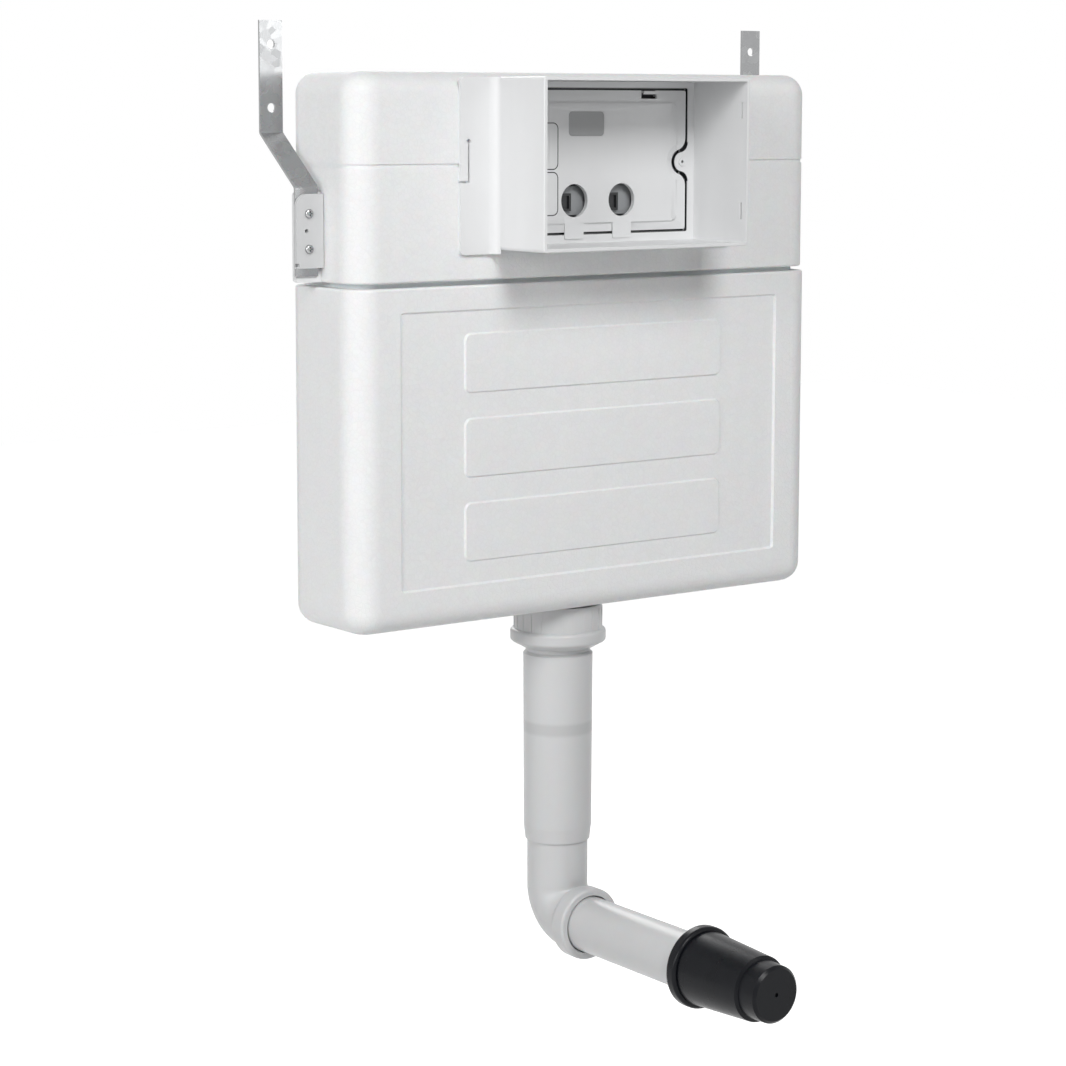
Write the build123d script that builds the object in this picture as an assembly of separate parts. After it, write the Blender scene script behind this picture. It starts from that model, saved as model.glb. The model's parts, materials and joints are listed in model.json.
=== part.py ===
"""Toilet cistern for hiding in a wall: tank, jackets, access box, valves, flush pipe and brackets."""
import os
from math import pi, radians, tan

from build123d import *

os.makedirs("parts", exist_ok=True)

# Frame: millimetres, wall plane y = 0, front towards -Y, +Z up, origin amid the four wall fixing holes

# Clearances
seat_clearance = 0.1
slide_clearance = 0.35
pin_clearance = 0.05
hole_clearance = 0.4
snap_clearance = 0.2

# Wall brackets
fixing_beside_tank = 22.5
fixing_half_z = 24.0
fixing_hole_r = 3.5
strip_width = 20.0
strip_thick = 2.0
strip_top_z = 42.0
strip_bend_high_z = -43.0
strip_bend_low_z = -83.0
strip_bottom_z = -150.0
strip_forward = 49.0
strip_bend_r = 3.0

# Jackets round the tank
back_y = -2.0
jacket_side = 9.0
upper_front_y = -97.0
upper_top_z = 3.3
lower_jacket_step = 1.5
lower_front_y = -98.0
lower_bottom_z = -422.7
seam_z = -157.0
seam_gap_up = 2.0
seam_gap_down = 1.7
seam_depth = 8.0
seam_lip_r = 2.0
front_corner_r = 22.0
back_corner_r = 18.0
edge_r = 17.0
line_groove_z = -67.2
line_groove_high = 3.0
line_groove_deep = 0.9

# Pressed panel and pads on the lower jacket
panel_side = 40.8
panel_top_z = -177.0
panel_bottom_z = -391.0
panel_deep = 1.6
panel_corner_r = 3.0
pad_side = 59.3
pad_high = 46.8
pad_first_top_z = -194.9
pad_pitch = 65.6
pad_proud = 1.4
pad_corner_r = 6.5
bevel_deg = 45.0

# Tank shell
tank_half_x = 218.5
tank_front_y = -88.0
tank_back_y = -8.0
tank_top_z = -5.0
tank_bottom_z = -412.5
tank_wall = 3.0
tank_corner_r = 12.0
tank_edge_r = 6.0
mouth_half_x = 86.0
mouth_top_z = -16.0
mouth_bottom_z = -116.0
mouth_rim = 8.0
mouth_rim_front_y = -90.0

# Side lugs of the tank and the clamp plates screwed on them
lug_beyond_fixing = 8.5
lug_thick = 5.0
web_beyond_jacket = 5.5
web_back_y = -26.0
lug_top_z = -86.5
lug_bottom_z = -154.8
lug_corner_r = 3.0
clamp_beyond_fixing = 11.0
clamp_inside_fixing = 13.0
clamp_thick = 3.0
clamp_top_z = -88.0
clamp_bottom_z = -143.8
clamp_corner_r = 10.0
clamp_notch = 2.6
clamp_notch_z = -140.0
clamp_pilot_beside = 2.0
clamp_pilot_z = -115.8
clamp_pilot_r = 1.6
bracket_screw_z = (-102.7, -129.3)
screw_head_r = 3.4
screw_head_high = 2.2
screw_head_round = 1.4
screw_shank_r = 1.75
screw_cross_wide = 0.9
screw_cross_long = 3.8
screw_cross_deep = 1.3

# Access box
box_beside_mouth = 15.5
box_top_z = -0.4
box_bottom_z = -132.0
box_front_y = -162.0
box_side_wall = 3.0
box_roof_wall = 2.5
box_corner_r = 3.0
flange_beyond_box = 32.5
flange_bottom_z = -135.1
flange_thick = 3.0
flange_corner_r = 4.0
flange_fillet = 7.0
box_rim_r = 0.9
rear_inside_box = 2.8
rear_top_z = -3.2
rear_bottom_z = -129.3
rear_back_y = -92.0
ledge_front_y = -94.0
plate_hole_beside_mouth = 5.8
plate_hole_top_z = -8.0
plate_hole_bottom_z = -122.6
ledge_top_z = -15.0
ledge_bottom_z = -117.0
stud_inside_mouth = 0.6
stud_z = -66.7
stud_boss_r = 7.6
stud_boss_front_y = -97.6
stud_hole_r = 1.25
stud_ring_r = 3.4
stud_ring_high = 0.8
tongue_slit_inside = 7.4
tongue_slit_top_z = -49.0
tongue_slit_bottom_z = -79.0
tongue_slit_wide = 1.5
tongue_head_r = 1.9
clip_slot_y = -155.7
clip_slot_wide = 2.0
clip_slot_deep = 1.5
clip_slots_z = ((-18.8, -31.8), (-98.2, -111.2))
hook_thick = 3.0
hook_half_z = 6.0
hook_zs = (-30.0, -104.0)
hook_back_y = -81.8
hook_barb = 2.6
gasket_beside_mouth = 10.0
gasket_top_z = -9.0
gasket_bottom_z = -124.0

# Splash plate
plate_gap = 2.0
plate_front_y = -96.5
plate_corner_r = 1.5
plate_notch_gap = 2.4
plate_notch_seek = 1.0
plate_notch_mouth_r = 5.0
raised_inside_mouth = 6.0
raised_top_z = -19.7
raised_bottom_z = -113.6
raised_high = 1.2
raised_corner_r = 5.0
raised_boss_gap = 5.5
label_x = (-29.3, 6.0)
label_z = (-45.8, -26.3)
label_deep = 0.8
label_corner_r = 3.5
label_thick = 0.5
push_x = 23.5
push_z = -95.9
push_r = 13.0
tab_x = (14.5, 33.0)
tab_drop = 5.3
tab_thick = 1.4
catch_x = (44.0, 60.0)
catch_notch_bottom_z = -16.5
catch_pocket_top_z = -12.2
catch_side_gap = 1.5
catch_thick = 1.6
catch_tongue_z = -11.2
catch_front_y = -98.2
catch_lip = 1.8

# Flush levers and their bridge
pivot_y = -76.0
pivot_z = -68.0
pin_r = 2.0
pin_half_x = 40.0
hub_r = 5.5
hub_in_x = 3.5
hub_out_x = 28.3
arm_half_x = 4.6
lever_arm_front = ((-80.6, -69.0), (-73.0, -72.4), (-84.6, -92.0), (-84.6, -101.0), (-90.5, -101.0),
                   (-90.5, -88.0))
lever_arm_back = ((-78.5, -63.6), (-41.0, -66.0), (-41.0, -70.0), (-76.5, -73.2))
lever_pad_half_x = 15.0
lever_pad_half_z = 11.5
lever_pad_corner_r = 3.0
rod_socket_x = (-12.0, 0.5)
rod_socket_z = (-8.4, 5.6)
rod_socket_wall = 2.0
rod_socket_front_y = -92.6
rod_socket_deep = 1.6
lever_pad_y = (-90.5, -87.5)
rod_slot_r = 3.5
rod_slot_half = 2.5
bridge_bar_y = (-84.0, -79.0)
bridge_bar_z = (-60.0, -52.0)
cheek_thick = 3.0
cheek_x = 36.5
cheek_back_y = -71.0
cheek_bottom_z = -74.0
bridge_end_thick = 6.0
bridge_end_front_y = -89.6
bridge_end_z = (-74.0, -50.0)
bridge_barb = 2.6
bridge_barb_z = (-66.0, -58.0)
bridge_barb_back_y = -81.8
spring_wire_r = 0.45
spring_coil_r = 3.4
spring_pitch = 1.8
spring_turns = 2.75
spring_leg_back_y = -66.0
spring_side_gap = 1.15
spring_leg_bend = 1.5
spring_round_share = 0.95
spring_leg_top_z = -57.0
coil_samples = 240

# Flush valve
valve_y = -47.1
rod_r = 2.5
rod_head_r = 5.5
rod_head_z = (-64.7, -60.8)
tube_r = 12.0
tube_wall = 2.0
tube_top_z = -118.0
foot_r = 28.0
foot_thick = 4.0
seal_in_r = 18.0
seal_out_r = 29.0
seal_thick = 4.0
seat_top_z = -399.0
seat_in_r = 21.5
seat_lip = 2.5
basket_flange_r = 32.5
basket_flange_thick = 4.0
basket_washer_thick = 2.0
basket_tail_r = 30.0
basket_bore_r = 26.6
basket_tail_bottom_z = -448.0
cage_out_r = 34.0
cage_top_z = -300.0
cage_ring_high = 6.0
cage_ring_in_r = 27.5
strut_wide = 7.0
strut_thick = 3.0
guide_out_r = 16.0
guide_clearance = 0.5
spoke_wide = 3.0
collar_out_r = 16.0
collar_z = (-165.0, -155.0)
collar_arm_wide = 7.0
half_float_r = 28.5
half_float_high = 38.0
half_float_wall = 2.0
half_rod_seat = 4.0
back_nut_r = 35.5
back_nut_high = 8.0
back_nut_side_count = 8
jacket_outlet_r = 39.0

# Coupling nut, seal and flush pipe
nut_top_z = -424.0
nut_skirt_r = 36.1
nut_skirt_bottom_z = -444.6
nut_bead_r = 39.2
nut_bead_bottom_z = -454.6
nut_bead_round = 3.0
nut_bottom_z = -460.0
nut_foot_r = 29.5
nut_wall_step = 3.0
nut_rib_count = 24
nut_rib_wide = 2.0
nut_rib_proud = 0.4
spigot_r = 26.2
spigot_top_z = -432.0
spigot_bore_r = 23.0
seal_ring_out_r = 29.6
seal_ring_bottom_z = -456.0
sleeve_top_z = -463.6
sleeve_top_r = 28.5
sleeve_low_r = 27.9
sleeve_low_z = -609.0
sleeve_end_z = -620.5
sleeve_end_r = 26.6
sleeve_round = 2.0
sleeve_shoulder_z = -468.0
ring_z = (-530.5, -521.0)
ring_deep = 1.0
pipe_r = 25.0
pipe_wall = 2.8
pipe_top_z = -471.0
outlet_z = -684.4
bend_r = 26.0
socket_mouth_gap = 1.3
socket_mouth_deep = 5.0
socket_r = 29.5
socket_back_y = -77.7
socket_front_y = -92.0
socket_round = 2.5
socket_neck_r = 26.6
tail_r = 22.5
tail_wall = 2.2
tail_back_y = -63.0
tail_front_y = -299.0
bend_ring_y = (-86.0, -80.0)
bend_ring_deep = 1.6
cap_flange_r = 32.4
cap_flange_back_y = -227.0
cap_flange_front_y = -237.5
cap_flange_round = 2.8
cap_body_back_r = 29.2
cap_body_front_r = 25.6
cap_end_thick = 1.5
cap_nose_r = 22.9
cap_nose_tip_r = 22.3
cap_step = 1.2
cap_nose_long = 19.0
cap_tip_round = 2.2
cap_pocket_r = 18.0
cap_pocket_deep = 3.5
cap_dimple_r = 1.7
cap_dimple_deep = 1.5

# Water inlet and stop valve
inlet_y = -47.0
inlet_z = -38.0
inlet_thread_r = 10.48
inlet_reach = 24.5
inlet_bore_r = 6.0
inlet_groove_r = 9.6
inlet_groove_wide = 1.5
shoulder_r = 15.0
shoulder_thick = 5.5
washer_thick = 2.0
socket_boss_r = 11.0
socket_boss_inward = 28.5
inlet_nut_flat = 30.0
inlet_nut_thick = 7.0
inlet_recess_r = 22.0
supply_r = 7.5
supply_wall = 1.0
supply_start_x = 98.5
supply_insert = 10.0
stop_body_r = 12.0
stop_x = (70.0, 106.0)
stop_socket_deep = 8.0
bonnet_x = 84.0
bonnet_r = 8.5
bonnet_front_y = -66.0
spindle_r = 4.0
spindle_back_y = -53.0
handle_y = (-73.0, -68.0)
handle_hub_r = 8.0
handle_long = 26.0
handle_wide = 9.0
hose_nut_r = 10.0
hose_nut_long = 10.0
hose_nut_side_count = 6
hose_r = 6.0
hose_bore_r = 4.0
hose_straight = 16.0
hose_mid = ((16.0, -42.0, -31.0), (-36.0, -40.0, -32.0))
hose_bend_share = 0.45

# Fill valve and its float
fill_x = -120.0
fill_y = -44.0
fill_r = 13.0
fill_z = (-100.0, -22.0)
fill_cap_r = 14.5
fill_cap_high = 5.0
fill_inlet_r = 8.0
fill_inlet_x = -98.0
shank_r = 9.0
shank_wall = 2.0
shank_bottom_z = -230.0
stop_flange_r = 12.0
stop_flange_thick = 3.0
float_half_x = 26.0
float_half_y = 26.0
float_high = 50.0
float_bottom_z = -195.0
float_corner_r = 5.0
float_wall = 2.0
float_rod_x = -138.0
float_rod_y = -63.0
float_rod_r = 1.6
float_rod_top_z = -46.0
float_head_r = 3.2
float_head_high = 2.0
float_collar_z = (-56.0, -54.0)
float_arm_x = -104.0
float_arm_z = -50.0
float_arm_y = (-66.0, -60.5)
float_arm_hub_r = 6.0
float_arm_high = 5.0
float_slot_half = 4.0
float_pin_r = 1.8
float_boss_r = 4.5
hold_x = 18.0
hold_z = (-95.0, -45.0)
hold_plate_thick = 2.5
hold_arm_half = 9.0


def block(x0, x1, y0, y1, z0, z1):
    """A box between two corners."""
    centre = Pos((x0 + x1) / 2, (y0 + y1) / 2, (z0 + z1) / 2)
    return centre * Box(abs(x1 - x0), abs(y1 - y0), abs(z1 - z0))


def bar_z(x, y, radius, z0, z1):
    """A round bar along Z."""
    return Pos(x, y, (z0 + z1) / 2) * Cylinder(radius, abs(z1 - z0))


def bar_y(x, z, radius, y0, y1):
    """A round bar along Y."""
    return Pos(x, (y0 + y1) / 2, z) * Rot(90, 0, 0) * Cylinder(radius, abs(y1 - y0))


def bar_x(y, z, radius, x0, x1):
    """A round bar along X."""
    return Pos((x0 + x1) / 2, y, z) * Rot(0, 90, 0) * Cylinder(radius, abs(x1 - x0))


def turned_z(points, x=0, y=0):
    """A turned solid about a vertical axis, from (radius, z) points."""
    face = Plane.XZ * make_face(Polyline(*points, close=True))
    return Pos(x, y, 0) * revolve(face, Axis.Z)


def turned_y(points, x, z):
    """A turned solid about an axis along Y, from (radius, y) points."""
    flipped = [(r, -y) for r, y in points]
    face = Plane.XZ * make_face(Polyline(*flipped, close=True))
    return Pos(x, 0, z) * Rot(90, 0, 0) * revolve(face, Axis.Z)


def front_plane(y):
    """The plane at y that looks to the front, with X to the right and Z up."""
    return Plane(origin=(0, y, 0), x_dir=(1, 0, 0), z_dir=(0, -1, 0))


def back_plane(y):
    """The plane at y that looks to the wall; its first direction is -X."""
    return Plane(origin=(0, y, 0), x_dir=(-1, 0, 0), z_dir=(0, 1, 0))


def front_slab(x0, x1, z0, z1, y_front, y_back, radius):
    """A plate facing the front with round corners."""
    outline = Pos((x0 + x1) / 2, (z0 + z1) / 2) * RectangleRounded(abs(x1 - x0), abs(z1 - z0), radius)
    return extrude(back_plane(y_front) * mirror(outline, Plane.YZ), abs(y_back - y_front))


def side_plate(points, x0, x1):
    """A plate between two X values, from (y, z) points."""
    face = Plane.YZ * make_face(Polyline(*points, close=True))
    return Pos(min(x0, x1), 0, 0) * extrude(face, abs(x1 - x0))


def plan_slab(half_x, y_front, y_back, z0, z1, front_r, back_r):
    """An upright slab with round corners seen from above."""
    outline = Pos(0, (y_front + y_back) / 2) * Rectangle(2 * half_x, abs(y_back - y_front))
    outline = fillet(outline.vertices().group_by(Axis.Y)[0], front_r)
    outline = fillet(outline.vertices().group_by(Axis.Y)[-1], back_r)
    return Pos(0, 0, z0) * extrude(outline, z1 - z0)


def mirrored(solid):
    """The same solid on the other side of the middle plane."""
    return mirror(solid, Plane.YZ)


def bend_radii(points, share):
    """One radius for each inner point, as large as its two runs allow."""
    radii = []
    for before, here, after in zip(points, points[1:], points[2:]):
        run_in = Vector(*here) - Vector(*before)
        run_out = Vector(*after) - Vector(*here)
        turn = radians(run_in.get_angle(run_out))
        radii.append(share * min(run_in.length, run_out.length) / tan(turn / 2))
    return radii


def circles_of(solid, radius):
    """The round edges of one radius."""
    circles = solid.edges().filter_by(GeomType.CIRCLE)
    return circles.filter_by(lambda edge: abs(edge.radius - radius) < pin_clearance)


def save(name, solid):
    """Write one piece to the parts folder."""
    export_step(solid, "parts/" + name + ".step")


# Widths that follow the tank's width
upper_half_x = tank_half_x + jacket_side
lower_half_x = upper_half_x + lower_jacket_step
panel_half_x = lower_half_x - panel_side
pad_half_x = panel_half_x - pad_side
fixing_half_x = tank_half_x + fixing_beside_tank
lug_out_x = fixing_half_x + lug_beyond_fixing
web_out_x = upper_half_x + web_beyond_jacket
clamp_out_x = fixing_half_x + clamp_beyond_fixing
clamp_in_x = fixing_half_x - clamp_inside_fixing
clamp_pilot_x = fixing_half_x + clamp_pilot_beside
inlet_end_x = tank_half_x + inlet_reach
socket_boss_x = tank_half_x - socket_boss_inward
supply_x = (supply_start_x, socket_boss_x + supply_insert)

# Widths that follow the tank's mouth, and the cap's lengths that follow the tail
box_half_x = mouth_half_x + box_beside_mouth
flange_half_x = box_half_x + flange_beyond_box
rear_half_x = box_half_x - rear_inside_box
plate_hole_half_x = mouth_half_x + plate_hole_beside_mouth
stud_x = mouth_half_x - stud_inside_mouth
tongue_slit_x = flange_half_x - tongue_slit_inside
gasket_half_x = mouth_half_x + gasket_beside_mouth
raised_half_x = mouth_half_x - raised_inside_mouth
bridge_end_in_x = mouth_half_x - bridge_end_thick
cap_body_front_y = tail_front_y - cap_end_thick
cap_tip_y = cap_body_front_y - cap_nose_long
cap_pocket_y = cap_tip_y + cap_pocket_deep

# Tank shell: envelope first, because the jackets are cut by it
tank_envelope = plan_slab(tank_half_x, tank_front_y, tank_back_y, tank_bottom_z, tank_top_z,
                          tank_corner_r, tank_corner_r)
tank_envelope = fillet(tank_envelope.edges().group_by(Axis.Z)[-1], tank_edge_r)
tank_envelope = fillet(tank_envelope.edges().group_by(Axis.Z)[0], tank_edge_r)

inner_corner_r = tank_corner_r - tank_wall
inner_edge_r = tank_edge_r - tank_wall
tank_inside = plan_slab(tank_half_x - tank_wall, tank_front_y + tank_wall, tank_back_y - tank_wall,
                        tank_bottom_z + tank_wall, tank_top_z - tank_wall, inner_corner_r, inner_corner_r)
tank_inside = fillet(tank_inside.edges().group_by(Axis.Z)[-1], inner_edge_r)
tank_inside = fillet(tank_inside.edges().group_by(Axis.Z)[0], inner_edge_r)

strip_back_y = -strip_forward
strip_front_y = strip_back_y - strip_thick
clamp_front_y = strip_front_y - clamp_thick
lug_back_y = strip_back_y + lug_thick
lug = block(-lug_out_x, -tank_half_x + tank_wall / 2, strip_back_y, lug_back_y, lug_bottom_z, lug_top_z)
lug = fillet(lug.edges().filter_by(Axis.Y).group_by(Axis.X)[0], lug_corner_r)
lug += block(-web_out_x, -tank_half_x + tank_wall / 2, lug_back_y, web_back_y, lug_bottom_z, lug_top_z)
for screw_z in bracket_screw_z:
    lug -= bar_y(-fixing_half_x, screw_z, screw_shank_r, strip_back_y, lug_back_y)

rim_root_y = tank_front_y + tank_wall / 2
mouth_rim_block = front_slab(-mouth_half_x - mouth_rim, mouth_half_x + mouth_rim,
                             mouth_bottom_z - mouth_rim, mouth_top_z + mouth_rim,
                             mouth_rim_front_y, rim_root_y, mouth_rim / 2)
tank = tank_envelope + mouth_rim_block + lug + mirrored(lug)
tank -= tank_inside
tank -= front_slab(-mouth_half_x, mouth_half_x, mouth_bottom_z, mouth_top_z,
                   mouth_rim_front_y, tank_front_y + tank_wall, tank_wall)
tank -= bar_z(0, valve_y, basket_tail_r + hole_clearance, tank_bottom_z, tank_bottom_z + tank_wall)
tank -= bar_x(inlet_y, inlet_z, inlet_thread_r + hole_clearance, tank_half_x - tank_wall, tank_half_x)
save("tank", tank)

# Upper jacket
seam_up_z = seam_z + seam_gap_up
upper = plan_slab(upper_half_x, upper_front_y, back_y, seam_up_z, upper_top_z, front_corner_r, back_corner_r)
upper = fillet(upper.edges().group_by(Axis.Z)[-1], edge_r)
upper = fillet(upper.edges().group_by(Axis.Z)[0], seam_lip_r)
upper += plan_slab(upper_half_x - seam_depth, upper_front_y + seam_depth, back_y - seam_depth / 2, seam_z,
                   seam_up_z + seam_lip_r, front_corner_r - seam_depth, back_corner_r - seam_depth)
groove_low_z = line_groove_z - line_groove_high / 2
groove_high_z = line_groove_z + line_groove_high / 2
groove_outer = plan_slab(upper_half_x + line_groove_deep, upper_front_y - line_groove_deep,
                         back_y + line_groove_deep, groove_low_z, groove_high_z, front_corner_r,
                         back_corner_r)
groove_core = plan_slab(upper_half_x - line_groove_deep, upper_front_y + line_groove_deep,
                        back_y - line_groove_deep, groove_low_z, groove_high_z,
                        front_corner_r - line_groove_deep, back_corner_r - line_groove_deep)
upper -= groove_outer - groove_core
upper -= tank_envelope
upper -= block(-rear_half_x - hole_clearance, rear_half_x + hole_clearance, upper_front_y, rim_root_y,
               rear_bottom_z - hole_clearance, rear_top_z + hole_clearance)
lug_slot = block(-upper_half_x, -tank_half_x, strip_back_y - hole_clearance, web_back_y + hole_clearance,
                 seam_z, lug_top_z + hole_clearance)
upper -= lug_slot + mirrored(lug_slot)
upper -= bar_x(inlet_y, inlet_z, inlet_recess_r, tank_half_x, upper_half_x)
save("upper_jacket", upper)

# Lower jacket
seam_down_z = seam_z - seam_gap_down
lower = plan_slab(lower_half_x, lower_front_y, back_y, lower_bottom_z, seam_down_z, front_corner_r,
                  back_corner_r)
lower = fillet(lower.edges().group_by(Axis.Z)[0], edge_r)
lower = fillet(lower.edges().group_by(Axis.Z)[-1], seam_lip_r)
lower += plan_slab(upper_half_x - seam_depth, upper_front_y + seam_depth, back_y - seam_depth / 2,
                   seam_down_z - seam_lip_r, seam_z, front_corner_r - seam_depth, back_corner_r - seam_depth)
panel_centre_z = (panel_top_z + panel_bottom_z) / 2
panel_outline = RectangleRounded(2 * panel_half_x, panel_top_z - panel_bottom_z, panel_corner_r)
panel_place = back_plane(lower_front_y) * Pos(0, panel_centre_z)
panel = extrude(panel_place * panel_outline, panel_deep, taper=bevel_deg)
lower -= panel
pad_floor_y = lower_front_y + panel_deep
for row in range(3):
    pad_centre_z = pad_first_top_z - pad_high / 2 - row * pad_pitch
    pad_outline = RectangleRounded(2 * pad_half_x, pad_high, pad_corner_r)
    pad_place = front_plane(pad_floor_y) * Pos(0, pad_centre_z)
    lower += extrude(pad_place * pad_outline, pad_proud, taper=bevel_deg)
lower -= tank_envelope
lower -= bar_z(0, valve_y, jacket_outlet_r, lower_bottom_z, tank_bottom_z)
save("lower_jacket", lower)

# Wall brackets: one strip with two folds
strip_mid_y = -strip_thick / 2
strip_path = FilletPolyline((strip_mid_y, strip_top_z), (strip_mid_y, strip_bend_high_z),
                            (strip_mid_y - strip_forward, strip_bend_low_z),
                            (strip_mid_y - strip_forward, strip_bottom_z), radius=strip_bend_r)
strip_face = Plane.YZ * trace(strip_path, strip_thick)
bracket = Pos(-fixing_half_x - strip_width / 2, 0, 0) * extrude(strip_face, strip_width)
for hole_z in (fixing_half_z, -fixing_half_z):
    bracket -= bar_y(-fixing_half_x, hole_z, fixing_hole_r, -strip_thick, 0)
for screw_z in bracket_screw_z:
    bracket -= bar_y(-fixing_half_x, screw_z, screw_shank_r + hole_clearance, strip_front_y, strip_back_y)
save("left_bracket", bracket)
save("right_bracket", mirrored(bracket))

# Clamp plates over the brackets
clamp = block(-clamp_out_x, -clamp_in_x, clamp_front_y, strip_front_y, clamp_bottom_z, clamp_top_z)
clamp = fillet(clamp.edges().filter_by(Axis.Y).group_by(Axis.X)[0].group_by(Axis.Z)[-1], clamp_corner_r)
clamp -= block(-clamp_out_x, -clamp_out_x + clamp_notch, clamp_front_y, strip_front_y,
               clamp_notch_z - clamp_notch, clamp_notch_z)
clamp -= bar_y(-clamp_pilot_x, clamp_pilot_z, clamp_pilot_r, clamp_front_y, strip_front_y)
for screw_z in bracket_screw_z:
    clamp -= bar_y(-fixing_half_x, screw_z, screw_shank_r + hole_clearance, clamp_front_y, strip_front_y)
save("left_clamp", clamp)
save("right_clamp", mirrored(clamp))

# Four equal bracket screws
screw = bar_y(0, 0, screw_head_r, clamp_front_y - screw_head_high, clamp_front_y)
screw = fillet(screw.edges().group_by(Axis.Y)[0], screw_head_round)
screw += bar_y(0, 0, screw_shank_r, clamp_front_y, lug_back_y)
head_front_y = clamp_front_y - screw_head_high
for turn in (0, 90):
    slot = block(-screw_cross_long / 2, screw_cross_long / 2, head_front_y, head_front_y + screw_cross_deep,
                 -screw_cross_wide / 2, screw_cross_wide / 2)
    screw -= Rot(0, turn, 0) * slot
screws = [Pos(side * fixing_half_x, 0, screw_z) * screw for side in (-1, 1) for screw_z in bracket_screw_z]
save("bracket_screws", Compound(children=screws))

# Access box: open frame, flange on the jacket, rear ledge, stud bosses and snap hooks
box = block(-box_half_x, box_half_x, box_front_y, upper_front_y, box_bottom_z, box_top_z)
box = fillet(box.edges().filter_by(Axis.Y), box_corner_r)
box = fillet(box.edges().group_by(Axis.Y)[0], box_rim_r)
flange_front_y = upper_front_y - flange_thick
flange = front_slab(-flange_half_x, flange_half_x, flange_bottom_z, box_top_z, flange_front_y, upper_front_y,
                    flange_corner_r)
slit = block(-tongue_slit_x - tongue_slit_wide / 2, -tongue_slit_x + tongue_slit_wide / 2,
             flange_front_y, upper_front_y, tongue_slit_bottom_z, tongue_slit_top_z)
slit += bar_y(-tongue_slit_x, tongue_slit_top_z, tongue_head_r, flange_front_y, upper_front_y)
slit += block(-flange_half_x, -tongue_slit_x + tongue_slit_wide / 2, flange_front_y, upper_front_y,
              tongue_slit_bottom_z - tongue_slit_wide, tongue_slit_bottom_z)
flange -= slit + mirrored(slit)
fillet_x = box_half_x + flange_fillet
fillet_y = flange_front_y - flange_fillet
gusset = block(-fillet_x, -box_half_x, fillet_y, flange_front_y, flange_bottom_z, box_top_z)
gusset -= bar_z(-fillet_x, fillet_y, flange_fillet, flange_bottom_z, box_top_z)
box += flange + gusset + mirrored(gusset)
inner_half_x = box_half_x - box_side_wall
inner_top_z = box_top_z - box_roof_wall
inner_bottom_z = box_bottom_z + box_side_wall
box -= block(-inner_half_x, inner_half_x, box_front_y, upper_front_y, inner_bottom_z, inner_top_z)
rear = block(-rear_half_x, rear_half_x, upper_front_y, rear_back_y, rear_bottom_z, rear_top_z)
rear -= front_slab(-plate_hole_half_x, plate_hole_half_x, plate_hole_bottom_z, plate_hole_top_z,
                   upper_front_y, ledge_front_y, plate_corner_r)
rear -= front_slab(-mouth_half_x, mouth_half_x, ledge_bottom_z, ledge_top_z, ledge_front_y, rear_back_y,
                   plate_corner_r)
rear -= block(catch_x[0], catch_x[1], ledge_front_y, rear_back_y, catch_notch_bottom_z, catch_pocket_top_z)
box += rear
boss = bar_y(stud_x, stud_z, stud_boss_r, stud_boss_front_y, rear_back_y)
boss += block(stud_x, plate_hole_half_x, stud_boss_front_y, rear_back_y, stud_z - stud_boss_r,
              stud_z + stud_boss_r)
boss += bar_y(stud_x, stud_z, stud_ring_r, stud_boss_front_y - stud_ring_high, stud_boss_front_y)
stud_hole = bar_y(stud_x, stud_z, stud_hole_r, stud_boss_front_y - stud_ring_high, rear_back_y)
box += boss + mirrored(boss)
box -= stud_hole + mirrored(stud_hole)
for high_z, low_z in clip_slots_z:
    clip_slot = block(inner_half_x, inner_half_x + clip_slot_deep, clip_slot_y - clip_slot_wide / 2,
                      clip_slot_y + clip_slot_wide / 2, low_z, high_z)
    box -= clip_slot + mirrored(clip_slot)
wall_inner_y = tank_front_y + tank_wall
for hook_z in hook_zs:
    hook_out_x = mouth_half_x - slide_clearance
    hook = block(hook_out_x - hook_thick, hook_out_x, ledge_front_y, hook_back_y, hook_z - hook_half_z,
                 hook_z + hook_half_z)
    hook += block(hook_out_x - hook_thick, plate_hole_half_x, ledge_front_y, rear_back_y,
                  hook_z - hook_half_z,
                  hook_z + hook_half_z)
    hook += block(hook_out_x - hook_thick, hook_out_x + hook_barb, wall_inner_y + snap_clearance, hook_back_y,
                  hook_z - hook_half_z, hook_z + hook_half_z)
    box += hook + mirrored(hook)
save("access_box", box)

# Foam gasket between the access box and the tank's mouth
gasket = front_slab(-gasket_half_x, gasket_half_x, gasket_bottom_z, gasket_top_z, rear_back_y,
                    mouth_rim_front_y,
                    mouth_rim / 2)
gasket -= block(-mouth_half_x, mouth_half_x, rear_back_y, mouth_rim_front_y, mouth_bottom_z, mouth_top_z)
save("access_gasket", gasket)

# Splash plate with push rod holes, notches round the stud bosses, blank label field and foot tabs
plate_half_x = plate_hole_half_x - plate_gap
plate_top_z = plate_hole_top_z - plate_gap
plate_bottom_z = plate_hole_bottom_z + plate_gap
plate_back_y = ledge_front_y - seat_clearance
plate = front_slab(-plate_half_x, plate_half_x, plate_bottom_z, plate_top_z, plate_front_y, plate_back_y,
                   plate_corner_r)
raised_front_y = plate_front_y - raised_high
raised = front_slab(-raised_half_x, raised_half_x, raised_bottom_z, raised_top_z, raised_front_y,
                    plate_front_y,
                    raised_corner_r)
notch_r = stud_boss_r + plate_notch_gap
raised_round_r = notch_r + raised_boss_gap
for side in (-1, 1):
    raised -= bar_y(side * stud_x, stud_z, raised_round_r, raised_front_y, plate_front_y)
plate += raised
notch = bar_y(stud_x, stud_z, notch_r, raised_front_y, plate_back_y)
notch += block(stud_x, plate_half_x, raised_front_y, plate_back_y, stud_z - notch_r, stud_z + notch_r)
plate -= notch + mirrored(notch)
mouth_edges = plate.edges().filter_by(Axis.Y).group_by(Axis.X)
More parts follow.
